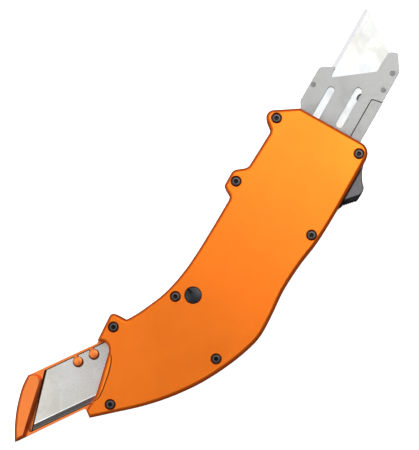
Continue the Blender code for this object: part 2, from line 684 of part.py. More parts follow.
def drive_shuttle():
    """Flat bar that carries both spring carriers and is pushed by the thumb slide's stem."""
    low, edge = WELL[2] + GAP, -5.0
    outline = rounded([(REAR_CARRIER_X[0] - 0.6, low, 0.8), (STEM_X[0] - GAP, low),
                       (STEM_X[0] - GAP, STEM_END_Y + GAP), (STEM_X[1] + GAP, STEM_END_Y + GAP),
                       (STEM_X[1] + GAP, low), (WELL[1] - 1.0, low, 0.8), (WELL[1] - 1.0, edge, 0.8),
                       (REAR_CARRIER_X[0] - 0.6, edge, 0.8)])
    window = slot(-6.0, 16.0, -9.4, -7.0)
    shuttle = prism("drive_shuttle", [outline, window], MECH_LOW, MECH_TOP)
    finish(shuttle, STEEL, 0.45, 1.0)


def spring_carrier(name, x0, x1):
    carrier = prism(name, [bar(x0, x1, -4.7, 7.4, 0.4)], MECH_LOW, MECH_TOP)
    finish(carrier, GUNMETAL, 0.45, 0.9)


def main_spring():
    start = REAR_CARRIER_X[1] + GAP + SPRING_WIRE_R
    length = FRONT_CARRIER_X[0] - REAR_CARRIER_X[1] - 2 * (GAP + SPRING_WIRE_R)
    per_turn = 10
    count = SPRING_TURNS * per_turn
    curve = bpy.data.curves.new("coil", "CURVE")
    curve.dimensions = "3D"
    curve.bevel_depth = SPRING_WIRE_R * MM
    curve.bevel_resolution = 2
    curve.use_fill_caps = True
    spline = curve.splines.new("POLY")
    spline.points.add(count)
    middle = (MECH_LOW + MECH_TOP) / 2
    for k, point in enumerate(spline.points):
        turn = 2 * pi * k / per_turn
        x = start + length * k / count
        point.co = (x * MM, (SPRING_Y + SPRING_COIL_R * cos(turn)) * MM,
                    (middle + SPRING_COIL_R * sin(turn)) * MM, 1)
    coil = mesh_object("coil", curve, CUTTERS)
    mesh = evaluated_mesh(coil)
    bpy.data.objects.remove(coil)
    build = bmesh.new()
    build.from_mesh(mesh)
    bmesh.ops.remove_doubles(build, verts=build.verts, dist=0.000001)
    bmesh.ops.recalc_face_normals(build, faces=build.faces)
    build.to_mesh(mesh)
    build.free()
    finish(mesh_object("main_spring", mesh, PARTS), STEEL, 0.3, 1.0)


# ---- locks ------------------------------------------------------------------------------------

def lock_lever(name, pivot):
    """Lever beside the channel; its tooth drops into the notch in the carriage's top edge."""
    boss = arc((0, 0), 1.0, 90, 270, 8)
    tooth = [(10.6, -0.6), (11.2, -1.1), (13.0, -1.1), (13.0, 0.8)]
    outline = boss + [(0.9, -0.6)] + tooth + [(0.9, 0.8)]
    lever = prism(name, [outline, circle((0, 0), LOCK_PIN_R + 0.15, 12)], LOCK_LOW, LOCK_TOP)
    middle = (LOCK_LOW + LOCK_TOP) / 2
    lever.data.transform(Matrix.Translation((0, 0, -middle * MM)))
    lever.location = (pivot[0] * MM, pivot[1] * MM, middle * MM)
    finish(lever, GUNMETAL, 0.4, 0.9)


# ---- build ------------------------------------------------------------------------------------

for old in list(bpy.data.objects):
    bpy.data.objects.remove(old)
PARTS = collection("deburring_knife")
CUTTERS = collection("cutters", hidden=True)

back_half()
front_half()
handle_screws()
magnet_disc()
locating_pins()
lock_pivot_pins()
rear_bumper()
head_blade()
tail_blade()
holder_front_plate()
holder_back_plate()
holder_spacer()
hook_spacer()
holder_rivets()
latch_arm()
latch_pivot()
drive_lug()
thumb_slide()
slide_pin()
drive_shuttle()
spring_carrier("front_spring_carrier", *FRONT_CARRIER_X)
spring_carrier("rear_spring_carrier", *REAR_CARRIER_X)
main_spring()
for lock_name, lock_pivot in zip(("extended_lock", "retracted_lock"), lock_pivots()):
    lock_lever(lock_name, lock_pivot)
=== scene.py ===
from math import atan2, cos, pi, radians, sin, tan

import bmesh
import bpy
from mathutils import Matrix, Vector


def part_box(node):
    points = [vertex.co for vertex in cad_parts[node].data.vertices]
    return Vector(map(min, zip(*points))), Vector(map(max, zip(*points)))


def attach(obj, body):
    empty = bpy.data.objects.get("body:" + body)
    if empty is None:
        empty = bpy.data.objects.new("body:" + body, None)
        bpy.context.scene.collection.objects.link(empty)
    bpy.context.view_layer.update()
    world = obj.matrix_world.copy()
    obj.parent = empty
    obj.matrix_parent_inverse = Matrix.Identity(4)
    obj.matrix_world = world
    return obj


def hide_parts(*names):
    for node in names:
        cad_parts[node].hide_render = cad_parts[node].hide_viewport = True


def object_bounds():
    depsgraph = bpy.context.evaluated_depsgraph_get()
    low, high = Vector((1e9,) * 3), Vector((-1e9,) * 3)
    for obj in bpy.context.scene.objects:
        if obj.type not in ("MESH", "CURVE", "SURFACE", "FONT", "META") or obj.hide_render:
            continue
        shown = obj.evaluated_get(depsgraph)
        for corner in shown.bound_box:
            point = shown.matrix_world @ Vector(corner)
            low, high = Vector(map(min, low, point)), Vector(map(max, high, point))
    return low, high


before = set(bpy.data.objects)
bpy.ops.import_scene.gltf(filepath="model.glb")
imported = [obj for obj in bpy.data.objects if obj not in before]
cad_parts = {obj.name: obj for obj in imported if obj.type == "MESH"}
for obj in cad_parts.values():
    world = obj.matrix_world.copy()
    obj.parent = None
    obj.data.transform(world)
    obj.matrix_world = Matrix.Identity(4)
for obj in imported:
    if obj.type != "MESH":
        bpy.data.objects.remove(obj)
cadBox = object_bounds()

# A double-ended deburring knife lying on its back. +X is the way the blade slides out, +Y the side with
# the screw lobes, +Z up out of the front face. Shapes are drawn in millimetres and turned into metres
# when a mesh is made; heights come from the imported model.
mm = 0.001
print("frame loaded:", len(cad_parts), "nodes")


def lowHigh(node):
    low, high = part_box(node)
    return low / mm, high / mm


# drawing helpers: outlines are lists of (x, y) in millimetres

def rounded(corners, degreesPerStep=9):
    # corners are (x, y) or (x, y, radius); a radius turns the corner into an arc
    points = []
    for i, corner in enumerate(corners):
        x, y = corner[:2]
        radius = corner[2] if len(corner) > 2 else 0
        if not radius:
            points.append((x, y))
            continue
        before, after = corners[i - 1], corners[(i + 1) % len(corners)]
        into = atan2(before[1] - y, before[0] - x)
        away = atan2(after[1] - y, after[0] - x)
        spread = (away - into + pi) % (2 * pi) - pi
        middle = into + spread / 2
        reach = radius / sin(abs(spread) / 2)
        cx, cy = x + reach * cos(middle), y + reach * sin(middle)
        sweep = pi - abs(spread)
        side = 1 if spread > 0 else -1
        first = middle + pi + side * sweep / 2
        steps = max(2, round(sweep / radians(degreesPerStep)))
        for k in range(steps + 1):
            angle = first - side * sweep * k / steps
            points.append((cx + radius * cos(angle), cy + radius * sin(angle)))
    return points


def arc(centre, radius, start, end, steps):
    angles = [radians(start + (end - start) * k / steps) for k in range(steps + 1)]
    return [(centre[0] + radius * cos(a), centre[1] + radius * sin(a)) for a in angles]


def circle(centre, radius, steps=48):
    return arc(centre, radius, 0, 360, steps)[:-1]


def flow(knots, steps=6):
    # smooth curve through the knots
    padded = [knots[0]] + knots + [knots[-1]]
    points = [knots[0]]
    for a, b, c, d in zip(padded, padded[1:], padded[2:], padded[3:]):
        for k in range(1, steps + 1):
            t = k / steps
            points.append(tuple(0.5 * (2 * b[i] + (c[i] - a[i]) * t
                                       + (2 * a[i] - 5 * b[i] + 4 * c[i] - d[i]) * t ** 2
                                       + (3 * b[i] - a[i] - 3 * c[i] + d[i]) * t ** 3)
                                for i in range(2)))
    return points


def bar(x0, x1, y0, y1, radius=0):
    return rounded([(x0, y0, radius), (x1, y0, radius), (x1, y1, radius), (x0, y1, radius)])


def slot(x0, x1, y0, y1):
    return bar(x0, x1, y0, y1, (y1 - y0) / 2 - 0.001)


# solids made from outlines and profiles

workbench = bpy.data.collections.new("cutters")
bpy.context.scene.collection.children.link(workbench)


def put(name, mesh, collection=None):
    piece = bpy.data.objects.new(name, mesh)
    (collection or bpy.context.scene.collection).objects.link(piece)
    return piece


def finishedMesh(piece):
    graph = bpy.context.evaluated_depsgraph_get()
    graph.update()
    return bpy.data.meshes.new_from_object(piece.evaluated_get(graph))


def slab(loops, low, high, edge=0, edgeSteps=2):
    # filled outline between two heights; edge rounds the rims of the outline and of its holes
    curve = bpy.data.curves.new("outline", "CURVE")
    curve.dimensions = "2D"
    curve.fill_mode = "BOTH"
    curve.extrude = ((high - low) / 2 - edge) * mm
    curve.bevel_depth = edge * mm
    curve.bevel_resolution = edgeSteps
    curve.offset = -edge * mm
    for loop in loops:
        spline = curve.splines.new("POLY")
        spline.points.add(len(loop) - 1)
        for point, (x, y) in zip(spline.points, loop):
            point.co = (x * mm, y * mm, 0, 1)
        spline.use_cyclic_u = True
    drawn = put("outline", curve, workbench)
    mesh = finishedMesh(drawn)
    bpy.data.objects.remove(drawn)
    bpy.data.curves.remove(curve)
    work = bmesh.new()
    work.from_mesh(mesh)
    bmesh.ops.remove_doubles(work, verts=work.verts, dist=1e-6)
    bmesh.ops.translate(work, verts=work.verts, vec=(0, 0, (low + high) / 2 * mm))
    bmesh.ops.recalc_face_normals(work, faces=work.faces)
    work.to_mesh(mesh)
    work.free()
    return mesh


def turned(profile, steps=64):
    # solid of revolution about Z from (radius, z) pairs, top to bottom
    work = bmesh.new()
    verts = [work.verts.new((r * mm, 0, z * mm)) for r, z in profile]
    for upper, lower in zip(verts, verts[1:]):
        work.edges.new((upper, lower))
    mesh = bpy.data.meshes.new("profile")
    work.to_mesh(mesh)
    work.free()
    drawn = put("profile", mesh, workbench)
    spin = drawn.modifiers.new("spin", "SCREW")
    spin.steps = spin.render_steps = steps
    spin.use_merge_vertices = True
    spin.merge_threshold = 1e-6
    solid = finishedMesh(drawn)
    bpy.data.objects.remove(drawn)
    return solid


def at(mesh, x, y, z=0, turn=0):
    mesh.transform(Matrix.Translation((x * mm, y * mm, z * mm)) @ Matrix.Rotation(turn, 4, "Z"))
    return mesh


def roundRims(mesh, heights, radius, segments):
    # rounds the outline edges lying at the given heights
    work = bmesh.new()
    work.from_mesh(mesh)
    bmesh.ops.dissolve_limit(work, angle_limit=radians(0.2), verts=work.verts, edges=work.edges)
    weight = work.edges.layers.float.new("bevel_weight_edge")
    for edge in work.edges:
        levels = [vert.co.z / mm for vert in edge.verts]
        if any(max(abs(z - height) for z in levels) < 0.01 for height in heights):
            edge[weight] = 1
    work.to_mesh(mesh)
    work.free()
    drawn = put("rims", mesh, workbench)
    bevel = drawn.modifiers.new("rim", "BEVEL")
    bevel.limit_method = "WEIGHT"
    bevel.width = radius * mm
    bevel.segments = segments
    bevel.profile = handle["rimRoundness"]
    bevel.use_clamp_overlap = False
    solid = finishedMesh(drawn)
    bpy.data.objects.remove(drawn)
    return solid


def carve(mesh, *steps):
    # each step is ("DIFFERENCE" or "UNION", mesh)
    body = put("body", mesh, workbench)
    tools = []
    for operation, tool in steps:
        tools.append(put("tool", tool, workbench))
        boolean = body.modifiers.new("step", "BOOLEAN")
        boolean.operation = operation
        boolean.solver = "EXACT"
        boolean.object = tools[-1]
    solid = finishedMesh(body)
    for drawn in tools + [body]:
        bpy.data.objects.remove(drawn)
    return solid


def dress(piece, body, material, nodes=(), sharp=32):
    # shading, material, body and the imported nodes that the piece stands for
    mesh = piece.data
    mesh.shade_smooth()
    mesh.set_sharp_from_angle(angle=radians(sharp))
    if not mesh.materials:
        mesh.materials.append(material)
    even = piece.modifiers.new("even normals", "WEIGHTED_NORMAL")
    even.keep_sharp = True
    even.weight = 80
    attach(piece, body)
    if nodes:
        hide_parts(*nodes)
    return piece


# shader tools

def addNode(tree, kind, values=None, **settings):
    made = tree.nodes.new(kind)
    for name, value in settings.items():
        setattr(made, name, value)
    for name, value in (values or {}).items():
        if isinstance(value, bpy.types.NodeSocket):
            tree.links.new(value, made.inputs[name])
        else:
            made.inputs[name].default_value = value
    return made


def calc(tree, operation, first, second=0.0, clamp=False):
    return addNode(tree, "ShaderNodeMath", {0: first, 1: second}, operation=operation,
                   use_clamp=clamp).outputs[0]


def blendColours(tree, factor, first, second, mode="MIX"):
    return addNode(tree, "ShaderNodeMix", {"Factor": factor, 6: first, 7: second}, data_type="RGBA",
                   blend_type=mode).outputs[2]


def rescale(tree, value, fromLow, fromHigh, toLow, toHigh):
    return addNode(tree, "ShaderNodeMapRange", {0: value, 1: fromLow, 2: fromHigh, 3: toLow, 4: toHigh},
                   interpolation_type="SMOOTHSTEP").outputs[0]


def newGroup(name, inputs, outputs):
    group = bpy.data.node_groups.new(name, "ShaderNodeTree")
    for label, kind, default in inputs:
        socket = group.interface.new_socket(label, in_out="INPUT", socket_type=kind)
        socket.default_value = default
    for label, kind in outputs:
        group.interface.new_socket(label, in_out="OUTPUT", socket_type=kind)
    given = group.nodes.new("NodeGroupInput")
    result = group.nodes.new("NodeGroupOutput")
    return group, given.outputs, result.inputs


def makeEdgeWear():
    # finds outside edges and breaks them up, so the finish looks rubbed there and not drawn round
    group, given, result = newGroup("edgeWear", [("Radius", "NodeSocketFloat", 0.0004),
                                                 ("Contrast", "NodeSocketFloat", 6.0),
                                                 ("Patch size", "NodeSocketFloat", 0.004)],
                                    [("Edge", "NodeSocketFloat"), ("Rubbed", "NodeSocketFloat")])
    bevel = addNode(group, "ShaderNodeBevel", {"Radius": given["Radius"]}, samples=4)
    shape = addNode(group, "ShaderNodeNewGeometry")
    facing = addNode(group, "ShaderNodeVectorMath", {0: bevel.outputs[0], 1: shape.outputs["Normal"]},
                     operation="DOT_PRODUCT").outputs["Value"]
    edge = calc(group, "MULTIPLY", calc(group, "SUBTRACT", 1.0, facing), given["Contrast"], True)
    where = addNode(group, "ShaderNodeTexCoord").outputs["Object"]
    finer = calc(group, "DIVIDE", 1.0, given["Patch size"])
    patches = addNode(group, "ShaderNodeTexNoise", {"Vector": where, "Scale": finer, "Detail": 4.0,
                                                    "Roughness": 0.65}).outputs[0]
    group.links.new(edge, result["Edge"])
    broken = rescale(group, patches, 0.42, 0.62, 0.0, 1.0)
    group.links.new(calc(group, "MULTIPLY", edge, broken, True), result["Rubbed"])
    return group


def makeFineGrain():
    # blasted, drawn or brushed surface: Stretch pulls the grain out along an axis
    group, given, result = newGroup("fineGrain", [("Grain size", "NodeSocketFloat", 0.0002),
                                                  ("Stretch", "NodeSocketVector", (1, 1, 1)),
                                                  ("Detail", "NodeSocketFloat", 3.0)],
                                    [("Height", "NodeSocketFloat"), ("Slow variation", "NodeSocketFloat")])
    where = addNode(group, "ShaderNodeTexCoord").outputs["Object"]
    pulled = addNode(group, "ShaderNodeVectorMath", {0: where, 1: given["Stretch"]},
                     operation="DIVIDE").outputs[0]
    scale = calc(group, "DIVIDE", 1.0, given["Grain size"])
    fine = addNode(group, "ShaderNodeTexNoise", {"Vector": pulled, "Scale": scale,
                                                 "Detail": given["Detail"], "Roughness": 0.6}).outputs[0]
    slowScale = calc(group, "MULTIPLY", scale, 0.03)
    slow = addNode(group, "ShaderNodeTexNoise", {"Vector": pulled, "Scale": slowScale, "Detail": 2.0,
                                                 "Roughness": 0.5}).outputs[0]
    group.links.new(fine, result["Height"])
    group.links.new(slow, result["Slow variation"])
    return group


def makeHandling():
    # marks of use: soft smudges from fingers, fine scratches and settled dust
    group, given, result = newGroup("handling", [("Smudge size", "NodeSocketFloat", 0.018),
                                                 ("Scratch length", "NodeSocketFloat", 0.012)],
                                    [("Smudge", "NodeSocketFloat"), ("Scratches", "NodeSocketFloat"),
                                     ("Dust", "NodeSocketFloat")])
    where = addNode(group, "ShaderNodeTexCoord").outputs["Object"]
    wide = calc(group, "DIVIDE", 1.0, given["Smudge size"])
    smudge = addNode(group, "ShaderNodeTexNoise", {"Vector": where, "Scale": wide, "Detail": 5.0,
                                                   "Roughness": 0.55, "Distortion": 0.8}).outputs[0]
    group.links.new(rescale(group, smudge, 0.45, 0.7, 0.0, 1.0), result["Smudge"])
    lines = []
    for turn in (0.5, -0.9, 2.2):
        aimed = addNode(group, "ShaderNodeMapping", {"Vector": where, "Rotation": (0.2, 0.1, turn),
                                                     "Scale": (1.0, 55.0, 20.0)}).outputs[0]
        long = calc(group, "DIVIDE", 1.0, given["Scratch length"])
        noise = addNode(group, "ShaderNodeTexNoise", {"Vector": aimed, "Scale": long,
                                                      "Detail": 2.0}).outputs[0]
        lines.append(rescale(group, noise, 0.70, 0.76, 0.0, 1.0))
    both = calc(group, "MAXIMUM", lines[0], lines[1])
    group.links.new(calc(group, "MAXIMUM", both, lines[2]), result["Scratches"])
    specks = addNode(group, "ShaderNodeTexVoronoi", {"Vector": where, "Scale": 900.0}).outputs["Distance"]
    sparse = addNode(group, "ShaderNodeTexNoise", {"Vector": where, "Scale": 260.0}).outputs[0]
    dust = calc(group, "MULTIPLY", rescale(group, specks, 0.10, 0.22, 1.0, 0.0),
                rescale(group, sparse, 0.60, 0.72, 0.0, 1.0))
    group.links.new(dust, result["Dust"])
    return group


def makeOcclusionShade():
    # painted shade: how shut in a spot is, from ambient occlusion; narrow gaps, bores and the foot of walls
    # are painted dark where light cannot reach them
    group, given, result = newGroup("occlusionShade", [("Reach", "NodeSocketFloat", 0.0015)],
                                    [("Deep", "NodeSocketFloat")])
    opened = addNode(group, "ShaderNodeAmbientOcclusion", {"Distance": given["Reach"]},
                     samples=8).outputs["AO"]
    group.links.new(rescale(group, opened, 0.25, 0.75, 1.0, 0.0), result["Deep"])
    return group


edgeWear = makeEdgeWear()
fineGrain = makeFineGrain()
handling = makeHandling()
occlusionShade = makeOcclusionShade()


def use(tree, group, **values):
    placed = addNode(tree, "ShaderNodeGroup", node_tree=group)
    for name, value in values.items():
        placed.inputs[name.replace("_", " ")].default_value = value
    return placed.outputs


def newMaterial(name, **fixed):
    # fixed values go straight on the shader's own sockets
    material = bpy.data.materials.new(name)
    material.use_nodes = True
    tree = material.node_tree
    shader = tree.nodes["Principled BSDF"]
    for label, value in fixed.items():
        shader.inputs[label.replace("_", " ")].default_value = value
    return material, tree, shader.inputs


def bumpFrom(tree, height, distance, strength, under=None):
    values = {"Height": height, "Distance": distance, "Strength": strength}
    if under:
        values["Normal"] = under
    return addNode(tree, "ShaderNodeBump", values).outputs[0]


def wire(tree, shader, colour, rough, normal):
    for value, label in ((colour, "Base Color"), (rough, "Roughness"), (normal, "Normal")):
        tree.links.new(value, shader[label])


def wireGrain(tree, shader, colour, grain, roughness, relief):
    # one grain gives the roughness, between two values, and the relief, by height and strength
    rough = rescale(tree, grain, 0.2, 0.8, *roughness)
    wire(tree, shader, colour, rough, bumpFrom(tree, grain, *relief))


def layer(tree, mask, amount, under, over):
    # lays one colour over another where the mask is, by at most the given amount
    return blendColours(tree, calc(tree, "MULTIPLY", mask, amount), under, over)


# paints shade into gaps: mixes in a dark colour where the occlusion mask finds the spot shut in
def paintShadeInGaps(tree, colour, reach, amount, gapShadeColour):
    return layer(tree, use(tree, occlusionShade, Reach=reach)["Deep"], amount, colour, gapShadeColour)


# finishes

anodised = {"frontColour": (0.87, 0.189, 0.011, 1), "backColour": (0.87, 0.235, 0.052, 1),
            "deepColour": (0.72, 0.130, 0.005, 1), "rimShadeColour": (0.95, 0.125, 0.006, 1),
            "rubbedColour": (0.95, 0.42, 0.12, 1), "gapShadeColour": (0.020, 0.006, 0.003, 1), "grain": 0.00016}


def makeAnodised(name, colour, reach):
    # bead-blasted aluminium dyed orange: fine matt grain, a deeper painted shade on tilted rims and walls,
    # and painted shade in gaps
    material, tree, shader = newMaterial(name, Metallic=0.82, Specular_IOR_Level=0.5)
    grain = use(tree, fineGrain, Grain_size=anodised["grain"], Detail=4.0)
    marks = use(tree, handling, Smudge_size=0.03, Scratch_length=0.02)
    wear = use(tree, edgeWear, Radius=0.00035, Contrast=3.0, Patch_size=0.003)
    dye = blendColours(tree, rescale(tree, grain["Slow variation"], 0.3, 0.7, 0.0, 0.12),
                       colour, anodised["deepColour"])
    dye = layer(tree, grain["Height"], 0.12, dye, anodised["deepColour"])
    # painted shade: faces that tilt away from straight up, rims and walls, get a deeper, redder tone for the
    # darker light they reflect
    upright = addNode(tree, "ShaderNodeSeparateXYZ",
                      {0: addNode(tree, "ShaderNodeTexCoord").outputs["Normal"]}).outputs["Z"]
    tiltShade = rescale(tree, calc(tree, "ABSOLUTE", upright), 0.70, 0.985, 1.0, 0.0)
    dye = layer(tree, tiltShade, 0.8, dye, anodised["rimShadeColour"])
    rubbed = calc(tree, "MULTIPLY", wear["Rubbed"], 0.35)
    dye = blendColours(tree, rubbed, dye, anodised["rubbedColour"])
    dye = layer(tree, marks["Dust"], 0.10, dye, (0.8, 0.7, 0.6, 1))
    # painted shade: gaps and bores are painted a near-black brown
    dye = paintShadeInGaps(tree, dye, reach, 0.90, anodised["gapShadeColour"])
    rough = rescale(tree, grain["Height"], 0.2, 0.8, 0.36, 0.44)
    rough = calc(tree, "SUBTRACT", rough, calc(tree, "MULTIPLY", marks["Smudge"], 0.05))
    rough = calc(tree, "SUBTRACT", rough, calc(tree, "MULTIPLY", marks["Scratches"], 0.06), True)
    normal = bumpFrom(tree, grain["Height"], 0.00002, 0.35)
    normal = bumpFrom(tree, marks["Scratches"], 0.000006, 0.25, normal)
    wire(tree, shader, dye, rough, normal)
    return material


plateSteel = {"colour": (0.268, 0.268, 0.265, 1), "darkColour": (0.222, 0.221, 0.220, 1), "lineLength": 5.0}


def makePlateSteel():
    # stamped sheet, tumbled to a fine matt grey, with faint rolling lines and rubbed edges
    material, tree, shader = newMaterial("satinPlateSteel", Metallic=1.0)
    lines = use(tree, fineGrain, Grain_size=0.00012, Stretch=(plateSteel["lineLength"], 1, 1), Detail=3.0)
    marks = use(tree, handling, Smudge_size=0.012, Scratch_length=0.012)
    wear = use(tree, edgeWear, Radius=0.00015, Contrast=2.5, Patch_size=0.002)
    colour = blendColours(tree, rescale(tree, lines["Height"], 0.25, 0.75, 0.0, 0.45),
                          plateSteel["colour"], plateSteel["darkColour"])
    colour = layer(tree, marks["Smudge"], 0.25, colour, plateSteel["darkColour"])
    colour = layer(tree, wear["Edge"], 0.2, colour, (0.7, 0.7, 0.7, 1))
    # painted shade: slots, holes and the gaps between the plates are painted near black
    colour = paintShadeInGaps(tree, colour, 0.0022, 0.95, (0.01, 0.01, 0.01, 1))
    rough = rescale(tree, lines["Height"], 0.2, 0.8, 0.40, 0.50)
    rough = calc(tree, "ADD", rough, calc(tree, "MULTIPLY", marks["Smudge"], 0.06))
    normal = bumpFrom(tree, lines["Height"], 0.000012, 0.3)
    normal = bumpFrom(tree, marks["Scratches"], 0.000005, 0.3, normal)
    wire(tree, shader, colour, rough, normal)
    return material


bladeSteel = {"newColour": (0.289, 0.297, 0.302, 1), "newFilm": (0.296, 0.294, 0.279, 1),
              "litGroundColour": (0.50, 0.50, 0.525, 1), "usedColour": (0.60, 0.585, 0.585, 1),
              "usedFilm": (0.55, 0.54, 0.50, 1), "shoulderHighlightColour": (0.95, 0.95, 0.95, 1)}


def makeBladeSteel(name, colour, film, shoulderHighlight):
    # hardened strip: almost mirror smooth, faint oil stains and fine lines along the strip
    material, tree, shader = newMaterial(name, Metallic=1.0)
    lines = use(tree, fineGrain, Grain_size=0.0001, Stretch=(80, 1, 1), Detail=2.0)
    marks = use(tree, handling, Smudge_size=0.009, Scratch_length=0.008)
    stain = addNode(tree, "ShaderNodeTexNoise",
                    {"Vector": addNode(tree, "ShaderNodeTexCoord").outputs["Object"], "Scale": 45.0,
                     "Detail": 1.0, "Distortion": 0.5}).outputs[0]
    shade = blendColours(tree, rescale(tree, stain, 0.38, 0.62, 0.0, 1.0), colour, film)
    # painted highlight: a bright line along the edge of the flat, for the light that the bevel's shoulder
    # catches
    across = addNode(tree, "ShaderNodeSeparateXYZ",
                     {0: addNode(tree, "ShaderNodeTexCoord").outputs["Object"]}).outputs["Y"]
    line = rescale(tree, across, 0.01670, 0.01695, 0.0, shoulderHighlight)
    shade = blendColours(tree, line, shade, bladeSteel["shoulderHighlightColour"])
    # painted shade where the blade runs under other parts, such as the edges of the holder's slots
    shade = paintShadeInGaps(tree, shade, 0.0006, 0.8, (0.02, 0.02, 0.02, 1))
    rough = rescale(tree, lines["Height"], 0.2, 0.8, 0.20, 0.30)
    rough = calc(tree, "ADD", rough, calc(tree, "MULTIPLY", marks["Smudge"], 0.10))
    normal = bumpFrom(tree, lines["Height"], 0.0000012, 0.2)
    normal = bumpFrom(tree, marks["Scratches"], 0.000004, 0.3, normal)
    wire(tree, shader, shade, rough, normal)
    return material


groundEdge = {"colour": (0.26, 0.245, 0.245, 1), "grooveColour": (0.11, 0.10, 0.10, 1),
              "honedHighlightColour": (0.42, 0.41, 0.40, 1)}


def makeGroundEdge(name, paintedLight):
    # ground bevel: coarse wheel lines square to the edge, a honed strip at the very edge painted brighter as
    # a highlight, and painted light that brightens the whole bevel by the given amount
    material, tree, shader = newMaterial(name, Metallic=1.0)
    lines = use(tree, fineGrain, Grain_size=0.00009, Stretch=(1, 40, 40), Detail=3.0)
    across = addNode(tree, "ShaderNodeSeparateXYZ",
                     {0: addNode(tree, "ShaderNodeTexCoord").outputs["Object"]}).outputs["Y"]
    # the honed strip is painted brighter, as a highlight for the light the cutting edge catches
    honedHighlight = rescale(tree, across, 0.0186, 0.0188, 0.0, 1.0)
    colour = blendColours(tree, rescale(tree, lines["Height"], 0.3, 0.7, 0.0, 1.0),
                          groundEdge["colour"], groundEdge["grooveColour"])
    colour = layer(tree, honedHighlight, 0.7, colour, groundEdge["honedHighlightColour"])
    # painted light: the bevel is lifted towards a light grey for the light it reflects
    colour = blendColours(tree, paintedLight, colour, bladeSteel["litGroundColour"])
    wireGrain(tree, shader, colour, lines["Height"], (0.28, 0.46), (0.00001, 0.4))
    return material


blackOxide = {"colour": (0.080, 0.076, 0.075, 1), "wornColour": (0.24, 0.23, 0.23, 1)}


def makeBlackOxide():
    # oiled black screws, rubbed grey on the rim of the head and round the socket
    material, tree, shader = newMaterial("blackOxide", Metallic=0.9)
    grain = use(tree, fineGrain, Grain_size=0.00008, Detail=3.0)
    wear = use(tree, edgeWear, Radius=0.00025, Contrast=5.0, Patch_size=0.0008)
    colour = blendColours(tree, rescale(tree, grain["Height"], 0.3, 0.8, 0.0, 0.4), blackOxide["colour"],
                          (0.10, 0.10, 0.11, 1))
    colour = layer(tree, wear["Edge"], 0.45, colour, blackOxide["wornColour"])
    # painted shade: the socket and the gap round the head are painted black
    colour = paintShadeInGaps(tree, colour, 0.0014, 1.0, (0.004, 0.004, 0.005, 1))
    wireGrain(tree, shader, colour, grain["Height"], (0.30, 0.46), (0.00001, 0.3))
    return material


discBlack = {"colour": (0.020, 0.020, 0.023, 1), "sheenColour": (0.034, 0.040, 0.047, 1)}


def makeDiscBlack():
    # blackened plug with fine turning rings round its middle
    material, tree, shader = newMaterial("blackenedDisc", Metallic=0.7)
    where = addNode(tree, "ShaderNodeTexCoord").outputs["Object"]
    rings = addNode(tree, "ShaderNodeTexWave", {"Vector": where, "Scale": 2600.0, "Distortion": 0.6,
                                                "Detail": 2.0}, wave_type="RINGS",
                    rings_direction="Z").outputs["Fac"]
    grain = use(tree, fineGrain, Grain_size=0.0002, Detail=4.0)
    marks = use(tree, handling, Smudge_size=0.004, Scratch_length=0.004)
    colour = blendColours(tree, rescale(tree, grain["Slow variation"], 0.35, 0.7, 0.0, 0.8),
                          discBlack["colour"], discBlack["sheenColour"])
    colour = layer(tree, marks["Scratches"], 0.3, colour, (0.2, 0.2, 0.2, 1))
    # painted shade: the notch and the gap round the plug are painted black
    colour = paintShadeInGaps(tree, colour, 0.001, 1.0, (0.001, 0.001, 0.001, 1))
    rough = rescale(tree, rings, 0.0, 1.0, 0.26, 0.36)
    wire(tree, shader, colour, rough, bumpFrom(tree, rings, 0.000006, 0.3))
    return material


slideFinish = {"colour": (0.135, 0.135, 0.140, 1), "darkColour": (0.085, 0.085, 0.09, 1),
               "gripShadeColour": (0.006, 0.006, 0.007, 1), "gripDust": (0.03, 0.03, 0.03, 1)}


def makeSlideGrey():
    # dark grey blasted slide button
    material, tree, shader = newMaterial("slideGrey", Metallic=0.35)
    grain = use(tree, fineGrain, Grain_size=0.00018, Detail=4.0)
    wear = use(tree, edgeWear, Radius=0.0003, Contrast=3.0, Patch_size=0.0015)
    colour = blendColours(tree, rescale(tree, grain["Height"], 0.3, 0.7, 0.0, 0.6),
                          slideFinish["colour"], slideFinish["darkColour"])
    colour = layer(tree, wear["Rubbed"], 0.3, colour, (0.35, 0.35, 0.36, 1))
    # painted shade: recesses and the foot of walls are painted near black
    colour = paintShadeInGaps(tree, colour, 0.0025, 1.0, (0.003, 0.003, 0.003, 1))
    wireGrain(tree, shader, colour, grain["Height"], (0.42, 0.58), (0.00003, 0.4))
    return material


def makeSlideGrip():
    # black ribbed ramp, dull and slightly dusty between the ribs; its near-black colour is painted shade for
    # the dark that the ramp shows
    material, tree, shader = newMaterial("slideGrip", Specular_IOR_Level=0.25)
    grain = use(tree, fineGrain, Grain_size=0.00012, Detail=5.0)
    marks = use(tree, handling, Smudge_size=0.003)
    colour = blendColours(tree, rescale(tree, grain["Height"], 0.45, 0.8, 0.0, 0.4),
                          slideFinish["gripShadeColour"], slideFinish["gripDust"])
    colour = layer(tree, marks["Dust"], 0.3, colour, (0.2, 0.2, 0.2, 1))
    wireGrain(tree, shader, colour, grain["Height"], (0.55, 0.75), (0.00006, 0.5))
    return material


def makeMachined(name, colour, dark, stretch, roughLow, roughHigh):
    # inner working parts: plain steel with tool lines and a film of oil
    material, tree, shader = newMaterial(name, Metallic=1.0)
    lines = use(tree, fineGrain, Grain_size=0.00015, Stretch=stretch, Detail=3.0)
    wear = use(tree, edgeWear, Radius=0.0002, Contrast=3.0, Patch_size=0.002)
    shade = blendColours(tree, rescale(tree, lines["Height"], 0.3, 0.7, 0.0, 1.0), colour, dark)
    shade = layer(tree, wear["Edge"], 0.4, shade, (0.65, 0.65, 0.66, 1))
    rough = rescale(tree, lines["Slow variation"], 0.3, 0.7, roughLow, roughHigh)
    wire(tree, shader, shade, rough, bumpFrom(tree, lines["Height"], 0.00001, 0.3))
    return material


